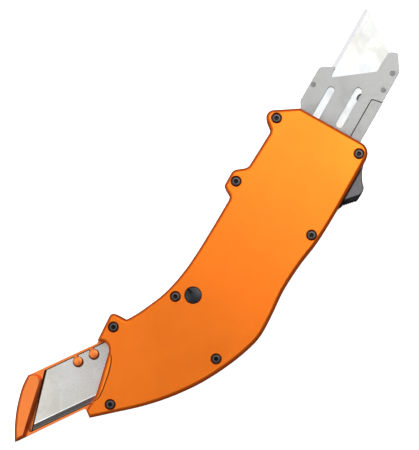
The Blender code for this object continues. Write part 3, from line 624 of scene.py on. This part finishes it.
def makeBumperRubber():
    material, tree, shader = newMaterial("bumperRubber")
    grain = use(tree, fineGrain, Grain_size=0.00025, Detail=4.0)
    colour = blendColours(tree, grain["Height"], (0.012, 0.012, 0.012, 1), (0.035, 0.035, 0.036, 1))
    wireGrain(tree, shader, colour, grain["Height"], (0.62, 0.8), (0.00003, 0.4))
    return material


orange = makeAnodised("anodisedOrange", anodised["frontColour"], 0.0012)
backOrange = makeAnodised("anodisedBack", anodised["backColour"], 0.0028)
plate = makePlateSteel()
# only the guarded blade gets the painted highlight line along its bevel's shoulder
newStrip = makeBladeSteel("newBladeSteel", bladeSteel["newColour"], bladeSteel["newFilm"], 0.0)
usedStrip = makeBladeSteel("usedBladeSteel", bladeSteel["usedColour"], bladeSteel["usedFilm"], 0.95)
# the head blade's bevel is given painted light, the tail blade's none
headGround = makeGroundEdge("headBladeGround", 0.93)
tailGround = makeGroundEdge("tailBladeGround", 0.0)
oxide = makeBlackOxide()
disc = makeDiscBlack()
slideGrey = makeSlideGrey()
slideGrip = makeSlideGrip()
rubber = makeBumperRubber()
rivetSteel = makeMachined("rivetSteel", (0.155, 0.155, 0.16, 1), (0.12, 0.12, 0.125, 1), (1, 1, 1),
                          0.40, 0.50)
driveSteel = makeMachined("driveSteel", (0.40, 0.40, 0.42, 1), (0.26, 0.26, 0.27, 1), (30, 1, 1), 0.3, 0.5)
springWire = makeMachined("springWire", (0.50, 0.50, 0.52, 1), (0.34, 0.34, 0.36, 1), (8, 1, 1), 0.22, 0.36)
print("finishes made:", len(bpy.data.materials))


# the two handle shells

backHigh = lowHigh("back_half")[1]
frontLow, frontHigh = lowHigh("front_half")
screwNames = [name for name in sorted(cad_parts) if name.startswith("handle_screw")]
screwSpots = []
for name in screwNames:
    low, high = lowHigh(name)
    screwSpots.append((name, (low.x + high.x) / 2, (low.y + high.y) / 2, high.z))
discLow, discHigh = lowHigh("magnet_disc")
discSpot = ((discLow.x + discHigh.x) / 2, (discLow.y + discHigh.y) / 2)
carriageLow, carriageHigh = lowHigh("holder_front_plate")

handle = {"rim": 1.35, "rimSteps": 6, "rimRoundness": 0.4, "mouthX": 39.3, "mouthTopY": 15.7,
          "bellyY": -16.6, "boreRadius": 2.1, "boreChamfer": 0.15, "boreDepth": 2.5, "discGap": 0.15,
          "lipDrop": 0.15, "lipLine": 0.7, "lipWidth": 0.45, "hookSlope": 1.15,
          "channelLowY": -11.55, "channelHighY": 18.0, "channelRearX": -34.9,
          "latchRooms": ((-9.5, 0.5, -12.0, -10.5), (0.0, 11.5, -12.5, -10.5)), "shankBore": 1.0,
          "well": (-34.5, 31.0, -11.6, 8.0, 2.0), "wellFloor": 2.4, "stemPath": (0.7, 28.3, -9.1),
          "gap": 0.3}


def upperEdge():
    # mouth, first screw lobe, second screw lobe and the hollow along the back of the grip
    firstLobe = [(handle["mouthX"], handle["mouthTopY"])] + arc((31.0, 22.9), 3.05, 31, 140, 16)
    lobes = rounded([firstLobe[-1], (25.75, 21.3, 2.6), (8.8, 22.0, 3.2), (5.1, 26.7, 2.8),
                     (-2.3, 26.65, 2.2), (-4.75, 22.3, 1.9), (-9.0, 22.3)])
    hollow = flow([(-9.0, 22.3), (-20.0, 22.5), (-31.0, 22.9), (-40.0, 23.8), (-50.0, 26.0),
                   (-60.0, 30.2), (-65.4, 33.1)])
    shoulder = rounded([(-65.4, 33.1), (-66.7, 34.0, 0.8), (-66.9, 40.5, 1.9), (-78.0, 40.1)])[1:-1]
    return firstLobe + lobes[1:] + hollow[1:] + shoulder


def belly():
    # heel under the tail, along the belly and round the front corner
    curve = flow([(-107.2, 27.4), (-101.6, 21.2), (-93.6, 12.4), (-85.0, 4.5), (-75.0, -2.8),
                  (-65.0, -8.3), (-55.0, -12.5), (-46.5, -14.7), (-37.0, -14.6), (-26.0, -13.8),
                  (-14.0, -14.5), (-5.0, -15.8), (3.0, -16.4), (12.0, handle["bellyY"])])
    corner = rounded([(12.0, handle["bellyY"]), (handle["mouthX"], handle["bellyY"], 4.6),
                      (handle["mouthX"], handle["mouthTopY"])])
    return curve + corner[1:-1]


def frontOutline():
    bladeNotch = flow([(-79.4, 39.8), (-78.9, 38.3), (-78.6, 36.6), (-79.3, 34.9), (-81.0, 33.7)], 4)
    return upperEdge() + bladeNotch + [(-98.7, 29.6), (-105.3, 30.0)] + belly()


def backOutline():
    hook = flow([(-104.8, 57.1), (-109.6, 56.8), (-115.0, 55.5), (-120.0, 53.8), (-125.4, 51.3),
                 (-130.2, 48.5)], 4)
    return upperEdge() + [(-80.6, 39.8)] + hook + [(-105.5, 31.5), (-105.4, 30.1)] + belly()


def boreCutter(x, y, radius, top, depth):
    # straight counterbore with a small broken edge at its mouth
    lip = handle["boreChamfer"]
    profile = [(0, top + 1), (radius + lip + 1, top + 1), (radius, top - lip), (radius, top - depth),
               (0, top - depth)]
    return at(turned(profile, 48), x, y)


def lockPockets(low, roof):
    pockets = []
    for name in ("lock_pivot_1", "lock_pivot_2"):
        pinLow, pinHigh = lowHigh(name)
        x, y = (pinLow.x + pinHigh.x) / 2, (pinLow.y + pinHigh.y) / 2
        pockets.append(("DIFFERENCE", slab([bar(x - 2.2, x + 15, y - 2.8, y + 1.3, 0.8)], low, roof)))
    return pockets


def makeFrontShell():
    low, high = frontLow.z, frontHigh.z
    roof = carriageHigh.z + handle["gap"]
    mesh = roundRims(slab([frontOutline()], low, high), [high], handle["rim"], handle["rimSteps"])
    channel = bar(handle["channelRearX"], handle["mouthX"] + 5, handle["channelLowY"],
                  handle["channelHighY"])
    steps = [("DIFFERENCE", slab([channel], low - 1, roof))] + lockPockets(low - 1, roof)
    for room in handle["latchRooms"]:
        steps.append(("DIFFERENCE", slab([bar(*room)], low - 1, roof)))
    for name, x, y, top in screwSpots:
        steps.append(("DIFFERENCE", boreCutter(x, y, handle["boreRadius"], high, handle["boreDepth"])))
        steps.append(("DIFFERENCE", slab([circle((x, y), handle["shankBore"], 24)], low - 1, high - 2)))
    plugRadius = (discHigh.x - discLow.x) / 2 + handle["discGap"]
    steps.append(("DIFFERENCE", boreCutter(*discSpot, plugRadius, high, high - discLow.z + 0.3)))
    # raised lip under the fixed blade: a scored line, and a face let down a little beyond it
    line = flow([(-101.2, 29.7), (-99.6, 28.7), (-97.3, 28.3), (-92.8, 28.9), (-87.7, 29.9), (-84.0, 31.1),
                 (-81.9, 32.3), (-81.1, 33.6)])
    score = line + [(x, y - handle["lipWidth"]) for x, y in reversed(line)]
    steps.append(("DIFFERENCE", slab([line + [(-81.5, 35.5), (-99.0, 31.5)]], high - handle["lipDrop"],
                                     high + 1)))
    steps.append(("DIFFERENCE", slab([score], high - handle["lipLine"], high + 1)))
    mesh = carve(mesh, *steps)
    dress(put("frontShell", mesh), "handle", orange, ["front_half"])


blade = {"wide": 19.0, "thick": 0.65, "tip": 0.05, "notchRadius": 2.15, "notchIn": 2.4, "notchStep": 6.9,
         "slideMid": 58.3, "slideHalfEdge": 29.0, "slideSlant": 56.5, "slideBevel": 1.5, "tailBevel": 1.85}
tail = {"angle": radians(-35), "backN": -14.7, "bladeMidS": -95.25, "halfEdge": 31.15, "slant": 51.5,
        "pegIn": 2.1, "pegRadius": 1.75, "pegTop": 7.2, "neck": (0.75, 2.3, 0.7), "pocketFloor": 5.0,
        "grooveFloor": 2.6, "grooveUnder": 0.5, "grooveClear": 0.9}


def tailPoint(s, n):
    # s runs along the tail and n across it
    return (s * cos(tail["angle"]) - n * sin(tail["angle"]), s * sin(tail["angle"]) + n * cos(tail["angle"]))


def makeBackShell():
    top, seam = backHigh.z, frontLow.z - handle["gap"]
    mesh = roundRims(slab([backOutline()], 0, top), [0, top], handle["rim"], handle["rimSteps"])
    # the hook's raised land ends in a sloping wall beside the blade
    hookWall = flow([(-132.0, 45.8), (-112.5, 50.25), (-105.5, 51.8), (-104.0, 52.8), (-103.6, 54.2),
                     (-104.0, 55.7), (-105.6, 58.5)])
    around = [(-95.0, 80.0), (60.0, 80.0), (60.0, -60.0), (-140.0, -60.0), (-140.0, 40.0)]
    wallCut = slab([hookWall + around], seam, top + 0.1)
    for vertex in wallCut.vertices:
        if vertex.co.z < (seam + 0.01) * mm:
            vertex.co.x += handle["hookSlope"] / 2 * mm
            vertex.co.y -= handle["hookSlope"] * mm
    run = blade["wide"] / tan(radians(tail["slant"]))
    under, clear = tail["grooveUnder"], tail["grooveClear"]
    endS = tail["bladeMidS"] - tail["halfEdge"]
    topN, lowN = tail["backN"] + 0.35, tail["backN"] - blade["wide"] - 0.4
    pocket = rounded([tailPoint(-79.0, topN), tailPoint(-111.0, topN), (-105.2, 50.8), (-124.6, 46.1, 0.8),
                      tailPoint(-127.0, lowN), tailPoint(-62.8, lowN)])
    groove = [tailPoint(endS + run + under, topN), tailPoint(endS + run - clear, topN),
              tailPoint(endS - clear, lowN), tailPoint(endS + under, lowN)]
    steps = [("DIFFERENCE", wallCut), ("DIFFERENCE", slab([pocket], tail["pocketFloor"], top + 1)),
             ("DIFFERENCE", slab([groove], tail["grooveFloor"], top + 1))]
    for side in (-0.5, 0.5):
        s = tail["bladeMidS"] + side * blade["notchStep"]
        half, below, above = tail["neck"]
        neck = [tailPoint(x, n) for x, n in bar(s - half, s + half, tail["backN"] - below,
                                                tail["backN"] + above)]
        steps.append(("UNION", slab([neck], tail["pocketFloor"] - 1, seam - 0.2)))
        r, pegTop = tail["pegRadius"], tail["pegTop"]
        peg = turned([(0, pegTop), (r - 0.3, pegTop), (r - 0.09, pegTop - 0.09), (r, pegTop - 0.3),
                      (r, tail["pocketFloor"] - 1), (0, tail["pocketFloor"] - 1)], 40)
        steps.append(("UNION", at(peg, *tailPoint(s, tail["backN"] - tail["pegIn"]))))
    wellLow = lowHigh("drive_shuttle")[0]
    stemRear, stemFront, stemTop = handle["stemPath"]
    stemPath = bar(stemRear, stemFront, handle["bellyY"] - 2, stemTop)
    steps.append(("DIFFERENCE", slab([bar(*handle["well"])], handle["wellFloor"], seam + 1)))
    steps.append(("DIFFERENCE", slab([stemPath], wellLow.z, seam + 1)))
    for name, x, y, head in screwSpots:
        steps.append(("DIFFERENCE", slab([circle((x, y), handle["shankBore"], 24)], 0.9, seam + 1)))
    mesh = carve(mesh, *steps)
    dress(put("backShell", mesh), "handle", backOrange, ["back_half"])


makeFrontShell()
makeBackShell()
print("handle shells done")


# handle screws and the black plug

screw = {"headRadius": 1.68, "headEdge": 0.34, "headDrop": 1.95, "shankRadius": 0.8, "length": 11.5,
         "socketRadius": 0.87, "socketDepth": 1.6, "socketFlare": 1.02}


def makeScrewMesh():
    r, edge, shank = screw["headRadius"], screw["headEdge"], screw["shankRadius"]
    tip = -screw["length"]
    head = turned([(0, 0), (r - edge * 1.1, 0), (r - edge * 0.55, -edge * 0.15),
                   (r - edge * 0.15, -edge * 0.5), (r, -edge), (r, -screw["headDrop"]),
                   (shank, -screw["headDrop"]), (shank, tip + 0.3), (shank - 0.3, tip), (0, tip)], 48)
    flare = turned([(0, 0.4), (screw["socketFlare"] + 0.4, 0.4), (screw["socketRadius"] - 0.1, -0.2),
                    (0, -0.2)], 48)
    return carve(head, ("DIFFERENCE", slab([circle((0, 0), screw["socketRadius"], 6)],
                                           -screw["socketDepth"], 1)), ("DIFFERENCE", flare))


screwMesh = makeScrewMesh()
for number, (name, x, y, top) in enumerate(screwSpots, 1):
    mesh = screwMesh.copy()
    mesh.transform(Matrix.Rotation(number * 0.7, 4, "Z"))
    piece = put(f"capScrew{number}", mesh)
    piece.location = (x * mm, y * mm, top * mm)
    dress(piece, "handle", oxide, [name])


plug = {"edge": 0.3, "notch": (1.2, 4.2, -0.45, 0.45, 0.25), "notchDepth": 1.6, "notchTurn": radians(70)}


def makePlug():
    # pressed-in black plug with a pry notch at its rim
    radius = (discHigh.x - discLow.x) / 2
    height = discHigh.z - discLow.z
    edge = plug["edge"]
    body = turned([(0, 0), (radius - edge, 0), (radius - 0.08, -0.08), (radius, -edge),
                   (radius, -height), (0, -height)], 96)
    notch = at(slab([bar(*plug["notch"])], -plug["notchDepth"], 1), 0, 0, turn=plug["notchTurn"])
    piece = put("pryPlug", carve(body, ("DIFFERENCE", notch)))
    piece.location = (discSpot[0] * mm, discSpot[1] * mm, discHigh.z * mm)
    dress(piece, "handle", disc, ["magnet_disc"])


makePlug()
print("screws and plug done")


# blade holder

holder = {"edge": 0.06, "lowY": -11.1, "notch": (18.7, 22.1, 13.5), "rivetRadius": 0.95,
          "latchEndX": 57.2, "latchTopY": -7.0, "latchGap": 0.3, "latchBore": 0.7, "toothHalf": 0.7,
          "toothTip": -5.1, "slots": ((30.0, 53.2, 7.4, 10.4), (40.3, 58.2, -2.2, 0.8))}
rivetNames = [name for name in sorted(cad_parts) if name.startswith("holder_rivet")]
rivetSpots = []
for name in rivetNames:
    low, high = lowHigh(name)
    rivetSpots.append((name, (low.x + high.x) / 2, (low.y + high.y) / 2, high.z, low.z))
pivotLow, pivotHigh = lowHigh("latch_pivot")
latchPivot = ((pivotLow.x + pivotHigh.x) / 2, (pivotLow.y + pivotHigh.y) / 2)


def holderRuns():
    # rear corner, nose under the blade, hook over the cutting edge and the necked top
    low, notch = holder["lowY"], holder["notch"]
    rearX = carriageLow.x
    rear = [(rearX, low, 1.0)]
    nose = [(71.2, low, 1.6), (77.7, -6.8, 1.1), (76.2, -3.6, 1.6), (67.1, -3.3, 1.6)]
    hook = [(56.0, 11.5, 0.7), (60.7, 12.0, 0.4), (57.6, 17.4, 2.2), (42.3, 17.4, 1.2)]
    neck = [(38.8, 15.3, 1.0), (notch[1], 15.3), (notch[1], notch[2]), (notch[0], notch[2]),
            (notch[0], 15.3), (rearX, 15.3, 1.0)]
    return rear, nose, hook + neck


def makeHolderPlates():
    rear, nose, top = holderRuns()
    low, gap = holder["lowY"], holder["latchGap"]
    latchTop, latchEnd = holder["latchTopY"] + gap, holder["latchEndX"]
    window = [(latchPivot[0] - 3.2, low), (latchPivot[0] - 3.2, latchTop, 0.6),
              (latchEnd - 0.6, latchTop, 0.9), (latchEnd + gap, low)]
    frontZ, backBox = lowHigh("holder_front_plate"), lowHigh("holder_back_plate")
    slots = [slot(*ends) for ends in holder["slots"]]
    holes = [circle((x, y), holder["rivetRadius"] + 0.04, 32) for name, x, y, high, under in rivetSpots]
    mesh = slab([rounded(rear + window + nose + top)] + slots + holes, frontZ[0].z, frontZ[1].z,
                holder["edge"])
    dress(put("holderFrontPlate", mesh), "carriage", plate, ["holder_front_plate"])
    mesh = slab([rounded(rear + nose + top)] + holes, backBox[0].z, backBox[1].z, holder["edge"])
    dress(put("holderBackPlate", mesh), "carriage", plate, ["holder_back_plate"])


def makeLatchArm():
    # spring arm in the front plate's window, with the tooth that holds the blade by its notch
    low, high = lowHigh("latch_arm")
    bladeTop = lowHigh("head_blade")[1].z
    end, top = holder["latchEndX"], holder["latchTopY"]
    outline = rounded([(low.x, low.y, 0.8), (end, low.y, 0.5), (end - 0.8, top, 0.9), (low.x, top, 0.8)])
    arm = slab([outline, circle(latchPivot, holder["latchBore"], 24)], low.z, high.z, holder["edge"])
    toothX = blade["slideMid"] - blade["notchStep"] / 2
    toothEnds = toothX - holder["toothHalf"], toothX + holder["toothHalf"]
    tooth = slab([bar(*toothEnds, top - 1.5, holder["toothTip"], 0.3)], low.z + 0.02, bladeTop)
    piece = put("latchArm", carve(arm, ("UNION", tooth)))
    dress(piece, "latch", plate, ["latch_arm"])


def makeRivets():
    # peened rivets: nearly flush, with a very shallow dimple turned into the head
    for number, (name, x, y, top, low) in enumerate(rivetSpots, 1):
        r, length = holder["rivetRadius"], top - low
        mesh = turned([(0, -0.03), (r * 0.5, -0.02), (r - 0.06, -0.01), (r, -0.06), (r, 0.06 - length),
                       (r - 0.06, 0.01 - length), (0, 0.01 - length)], 40)
        piece = put(f"peenedRivet{number}", mesh)
        piece.location = (x * mm, y * mm, top * mm)
        dress(piece, "carriage", rivetSteel, [name])


makeHolderPlates()
makeLatchArm()
makeRivets()
print("blade holder done")


# the two blades


def bladeOutline(mid, halfEdge, slant):
    # back edge on y = 0 with two round notches, cutting edge on y = wide
    notches = []
    r = blade["notchRadius"]
    for side in (-0.5, 0.5):
        x = mid + side * blade["notchStep"]
        notches += [(x - r / 2, 0)] + arc((x, blade["notchIn"]), r, 240, -60, 24) + [(x + r / 2, 0)]
    run = blade["wide"] / tan(radians(slant))
    wide = blade["wide"]
    return ([(mid - halfEdge + run, 0)] + notches
            + [(mid + halfEdge - run, 0), (mid + halfEdge, wide), (mid - halfEdge, wide)])


def groundWedge(x0, x1, bevel, side):
    # the sliver that the grinding wheel takes off one face
    wide, half = blade["wide"], blade["thick"] / 2
    section = [(wide - bevel, half), (wide + 0.5, half + 0.5), (wide + 0.5, blade["tip"] / 2),
               (wide, blade["tip"] / 2)]
    work = bmesh.new()
    rings = []
    for x in (x0, x1):
        rings.append([work.verts.new((x * mm, y * mm, side * z * mm)) for y, z in section])
    for k in range(4):
        work.faces.new((rings[0][k], rings[0][(k + 1) % 4], rings[1][(k + 1) % 4], rings[1][k]))
    work.faces.new(rings[0])
    work.faces.new(rings[1])
    bmesh.ops.recalc_face_normals(work, faces=work.faces)
    mesh = bpy.data.meshes.new("wedge")
    work.to_mesh(mesh)
    work.free()
    return mesh


def makeBlade(name, outline, bevel, strip, ground, node, body, place, turn):
    half = blade["thick"] / 2
    ends = min(x for x, y in outline) - 1, max(x for x, y in outline) + 1
    mesh = carve(slab([outline], -half, half), ("DIFFERENCE", groundWedge(*ends, bevel, 1)),
                 ("DIFFERENCE", groundWedge(*ends, bevel, -1)))
    mesh.materials.clear()
    mesh.materials.append(strip)
    mesh.materials.append(ground)
    for face in mesh.polygons:
        slopes = 0.02 < abs(face.normal.y) < 0.7 and face.center.y > (blade["wide"] - bevel) * mm
        face.material_index = 1 if slopes else 0
    low, high = lowHigh(node)
    piece = put(name, mesh)
    piece.location = (place[0] * mm, place[1] * mm, (low.z + high.z) / 2 * mm)
    piece.rotation_euler = (0, 0, turn)
    dress(piece, body, strip, [node], sharp=2)


headLow = lowHigh("head_blade")[0]
slidingOutline = bladeOutline(blade["slideMid"], blade["slideHalfEdge"], blade["slideSlant"])
makeBlade("slideBlade", slidingOutline, blade["slideBevel"], newStrip, headGround, "head_blade", "carriage",
          (0, headLow.y), 0)
guardedOutline = bladeOutline(-tail["bladeMidS"], tail["halfEdge"], tail["slant"])
makeBlade("guardedBlade", guardedOutline, blade["tailBevel"], usedStrip, tailGround, "tail_blade", "handle",
          tailPoint(0, tail["backN"]), tail["angle"] + pi)
print("blades done")


# thumb slide

slide = {"teeth": 6, "edge": 0.55, "rampLow": (14.4, -17.5), "rampHigh": (18.4, -21.1),
         "gripLine": ((16.6, -16.9), (22.0, -21.7)), "ribDepth": 0.35}


def slideOutline(topY):
    low, high = slide["rampLow"], slide["rampHigh"]
    lean = atan2(high[1] - low[1], high[0] - low[0])
    points = [(33.0, topY), (12.3, topY)]
    for k in range(slide["teeth"] + 1):
        x = low[0] + (high[0] - low[0]) * k / slide["teeth"]
        y = low[1] + (high[1] - low[1]) * k / slide["teeth"]
        points.append((x, y))
        if k < slide["teeth"]:
            points.append((x + 0.3 * cos(lean) - slide["ribDepth"] * sin(lean),
                           y + 0.3 * sin(lean) + slide["ribDepth"] * cos(lean)))
    return points + flow([(19.3, -21.55), (21.5, -21.7), (23.4, -21.7), (24.6, -21.3), (26.3, -19.7),
                          (28.2, -18.5), (30.2, -17.5), (33.0, topY)], 3)[:-1]


def makeThumbSlide():
    low, high = lowHigh("thumb_slide")
    topY = handle["bellyY"] - 0.06
    grip = roundRims(slab([slideOutline(topY)], low.z, high.z), [low.z, high.z], slide["edge"], 4)
    stem = slab([bar(21.0, 28.0, high.y, topY - 1.2)], lowHigh("slide_pin")[0].z, lowHigh("slide_pin")[1].z)
    pinLow, pinHigh = lowHigh("slide_pin")
    bore = circle(((pinLow.x + pinHigh.x) / 2, (pinLow.y + pinHigh.y) / 2), 0.9, 24)
    mesh = carve(grip, ("UNION", stem), ("DIFFERENCE", slab([bore], pinLow.z - 1, pinHigh.z + 1)))
    mesh.materials.clear()
    mesh.materials.append(slideGrey)
    mesh.materials.append(slideGrip)
    # faces behind the grip line take the near-black ramp finish, which is painted shade
    (x0, y0), (x1, y1) = slide["gripLine"]
    work = bmesh.new()
    work.from_mesh(mesh)
    across = Vector((y1 - y0, x0 - x1, 0)).normalized()
    bmesh.ops.bisect_plane(work, geom=work.verts[:] + work.edges[:] + work.faces[:],
                           plane_co=(x0 * mm, y0 * mm, 0), plane_no=across, dist=1e-6)
    start = Vector((x0 * mm, y0 * mm, 0))
    for face in work.faces:
        behind = (face.calc_center_median() - start).dot(across) > 0
        face.material_index = 1 if behind else 0
    work.to_mesh(mesh)
    work.free()
    dress(put("thumbSlide", mesh), "thumb", slideGrey, ["thumb_slide"])


makeThumbSlide()
print("thumb slide done")


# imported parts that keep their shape

kept = {"holder_spacer": plate, "hook_spacer": plate, "latch_pivot": rivetSteel, "rear_bumper": rubber,
        "main_spring": springWire}
for name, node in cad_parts.items():
    finish = kept.get(name, driveSteel)
    node.data.materials.clear()
    node.data.materials.append(finish)


# floor, light and camera

studio = {"floorSize": 6.0, "floorGlow": 0.97, "floorShade": (0.14, 0.13, 0.13, 1), "keyPower": 1.05,
          "nearPower": 0.62, "tailPower": 0.09, "rimPower": 1.3, "dimSide": 0.20, "brightSide": 0.65,
          "tailGlow": 0.12, "headGlow": 0.44}


def makeFloor():
    material, tree, shader = newMaterial("paleFloor", Roughness=0.7, Specular_IOR_Level=0.2)
    shader["Base Color"].default_value = (0.80, 0.80, 0.80, 1)
    bounce = addNode(tree, "ShaderNodeBsdfDiffuse", {"Color": studio["floorShade"]})
    glow = addNode(tree, "ShaderNodeEmission", {"Color": (1, 1, 1, 1), "Strength": studio["floorGlow"]})
    seen = addNode(tree, "ShaderNodeLightPath").outputs["Is Camera Ray"]
    both = addNode(tree, "ShaderNodeAddShader", {0: tree.nodes["Principled BSDF"].outputs[0],
                                                 1: glow.outputs[0]})
    mixed = addNode(tree, "ShaderNodeMixShader", {0: seen, 1: bounce.outputs[0], 2: both.outputs[0]})
    tree.links.new(mixed.outputs[0], tree.nodes["Material Output"].inputs["Surface"])
    half = studio["floorSize"] / 2
    mesh = bpy.data.meshes.new("floor")
    mesh.from_pydata([(-half, -half, 0), (half, -half, 0), (half, half, 0), (-half, half, 0)], [],
                     [(0, 1, 2, 3)])
    mesh.materials.append(material)
    floor = put("floor", mesh)
    floor.location.z = -0.0002


def areaLight(name, place, aim, size, power):
    data = bpy.data.lights.new(name, "AREA")
    data.shape = "RECTANGLE"
    data.size, data.size_y = size
    data.energy = power
    light = put(name, data)
    light.visible_camera = False
    light.location = place
    light.rotation_euler = (Vector(aim) - Vector(place)).to_track_quat("-Z", "Y").to_euler()


def makeWorld():
    # room light by direction: a glow overhead, stronger towards the holder, and pale sides that
    # are dimmer by the belly and fade upwards
    world = bpy.data.worlds.new("room")
    world.use_nodes = True
    tree = world.node_tree
    direction = addNode(tree, "ShaderNodeTexCoord").outputs["Generated"]
    towards = addNode(tree, "ShaderNodeSeparateXYZ", {0: direction}).outputs
    overhead = rescale(tree, towards["X"], -0.22, 0.30, studio["tailGlow"], studio["headGlow"])
    height = rescale(tree, towards["Z"], 0.30, 0.97, 0.0, 1.0)
    sides = rescale(tree, towards["Y"], -0.6, 0.6, studio["dimSide"], studio["brightSide"])
    sides = calc(tree, "MULTIPLY", sides, rescale(tree, towards["Z"], 0.4, 0.95, 1.0, 0.3))
    room = calc(tree, "ADD", calc(tree, "MULTIPLY", overhead, height), sides)
    seen = addNode(tree, "ShaderNodeLightPath").outputs["Is Camera Ray"]
    strength = addNode(tree, "ShaderNodeMix", {0: seen, 2: room, 3: 1.0}).outputs[0]
    tree.links.new(strength, tree.nodes["Background"].inputs["Strength"])
    tree.nodes["Background"].inputs["Color"].default_value = (1, 1, 1, 1)
    bpy.context.scene.world = world


makeFloor()
makeWorld()
areaLight("overheadSoftbox", (0.50, 0.02, 1.0), (0.03, 0.0, 0), (0.8, 0.8), studio["keyPower"])
areaLight("nearSoftbox", (0.15, -0.02, 0.32), (0.15, -0.0201, 0), (0.26, 0.26), studio["nearPower"])
areaLight("tailSoftbox", (-0.17, 0.11, 0.35), (-0.13, 0.06, 0), (0.15, 0.15), studio["tailPower"])
areaLight("rimStrip", (-0.08, 0.50, 0.95), (-0.02, 0.02, 0), (1.0, 0.16), studio["rimPower"])

view = {"lens": 200.0, "centre": (-18.3, 23.95), "frameHigh": 176.5, "roll": (0.8686, 0.4955),
        "lean": (-0.035, -0.062)}


def makeCamera():
    # nearly straight down on the front face, with the knife leaning across the frame
    data = bpy.data.cameras.new("camera")
    data.lens = view["lens"]
    camera = put("camera", data)
    distance = view["frameHigh"] * mm * data.lens / data.sensor_width
    back = Vector((*view["lean"], 1)).normalized()
    aim = Vector((view["centre"][0] * mm, view["centre"][1] * mm, cadBox[1].z))
    camera.location = aim + back * distance
    up = Vector((*view["roll"], 0))
    up = (up - up.dot(back) * back).normalized()
    camera.matrix_world = Matrix.Translation(camera.location) @ Matrix(
        (up.cross(back), up, back)).transposed().to_4x4()
    bpy.context.scene.camera = camera


makeCamera()
bpy.context.scene.view_settings.view_transform = "Standard"
print("stage and camera done")
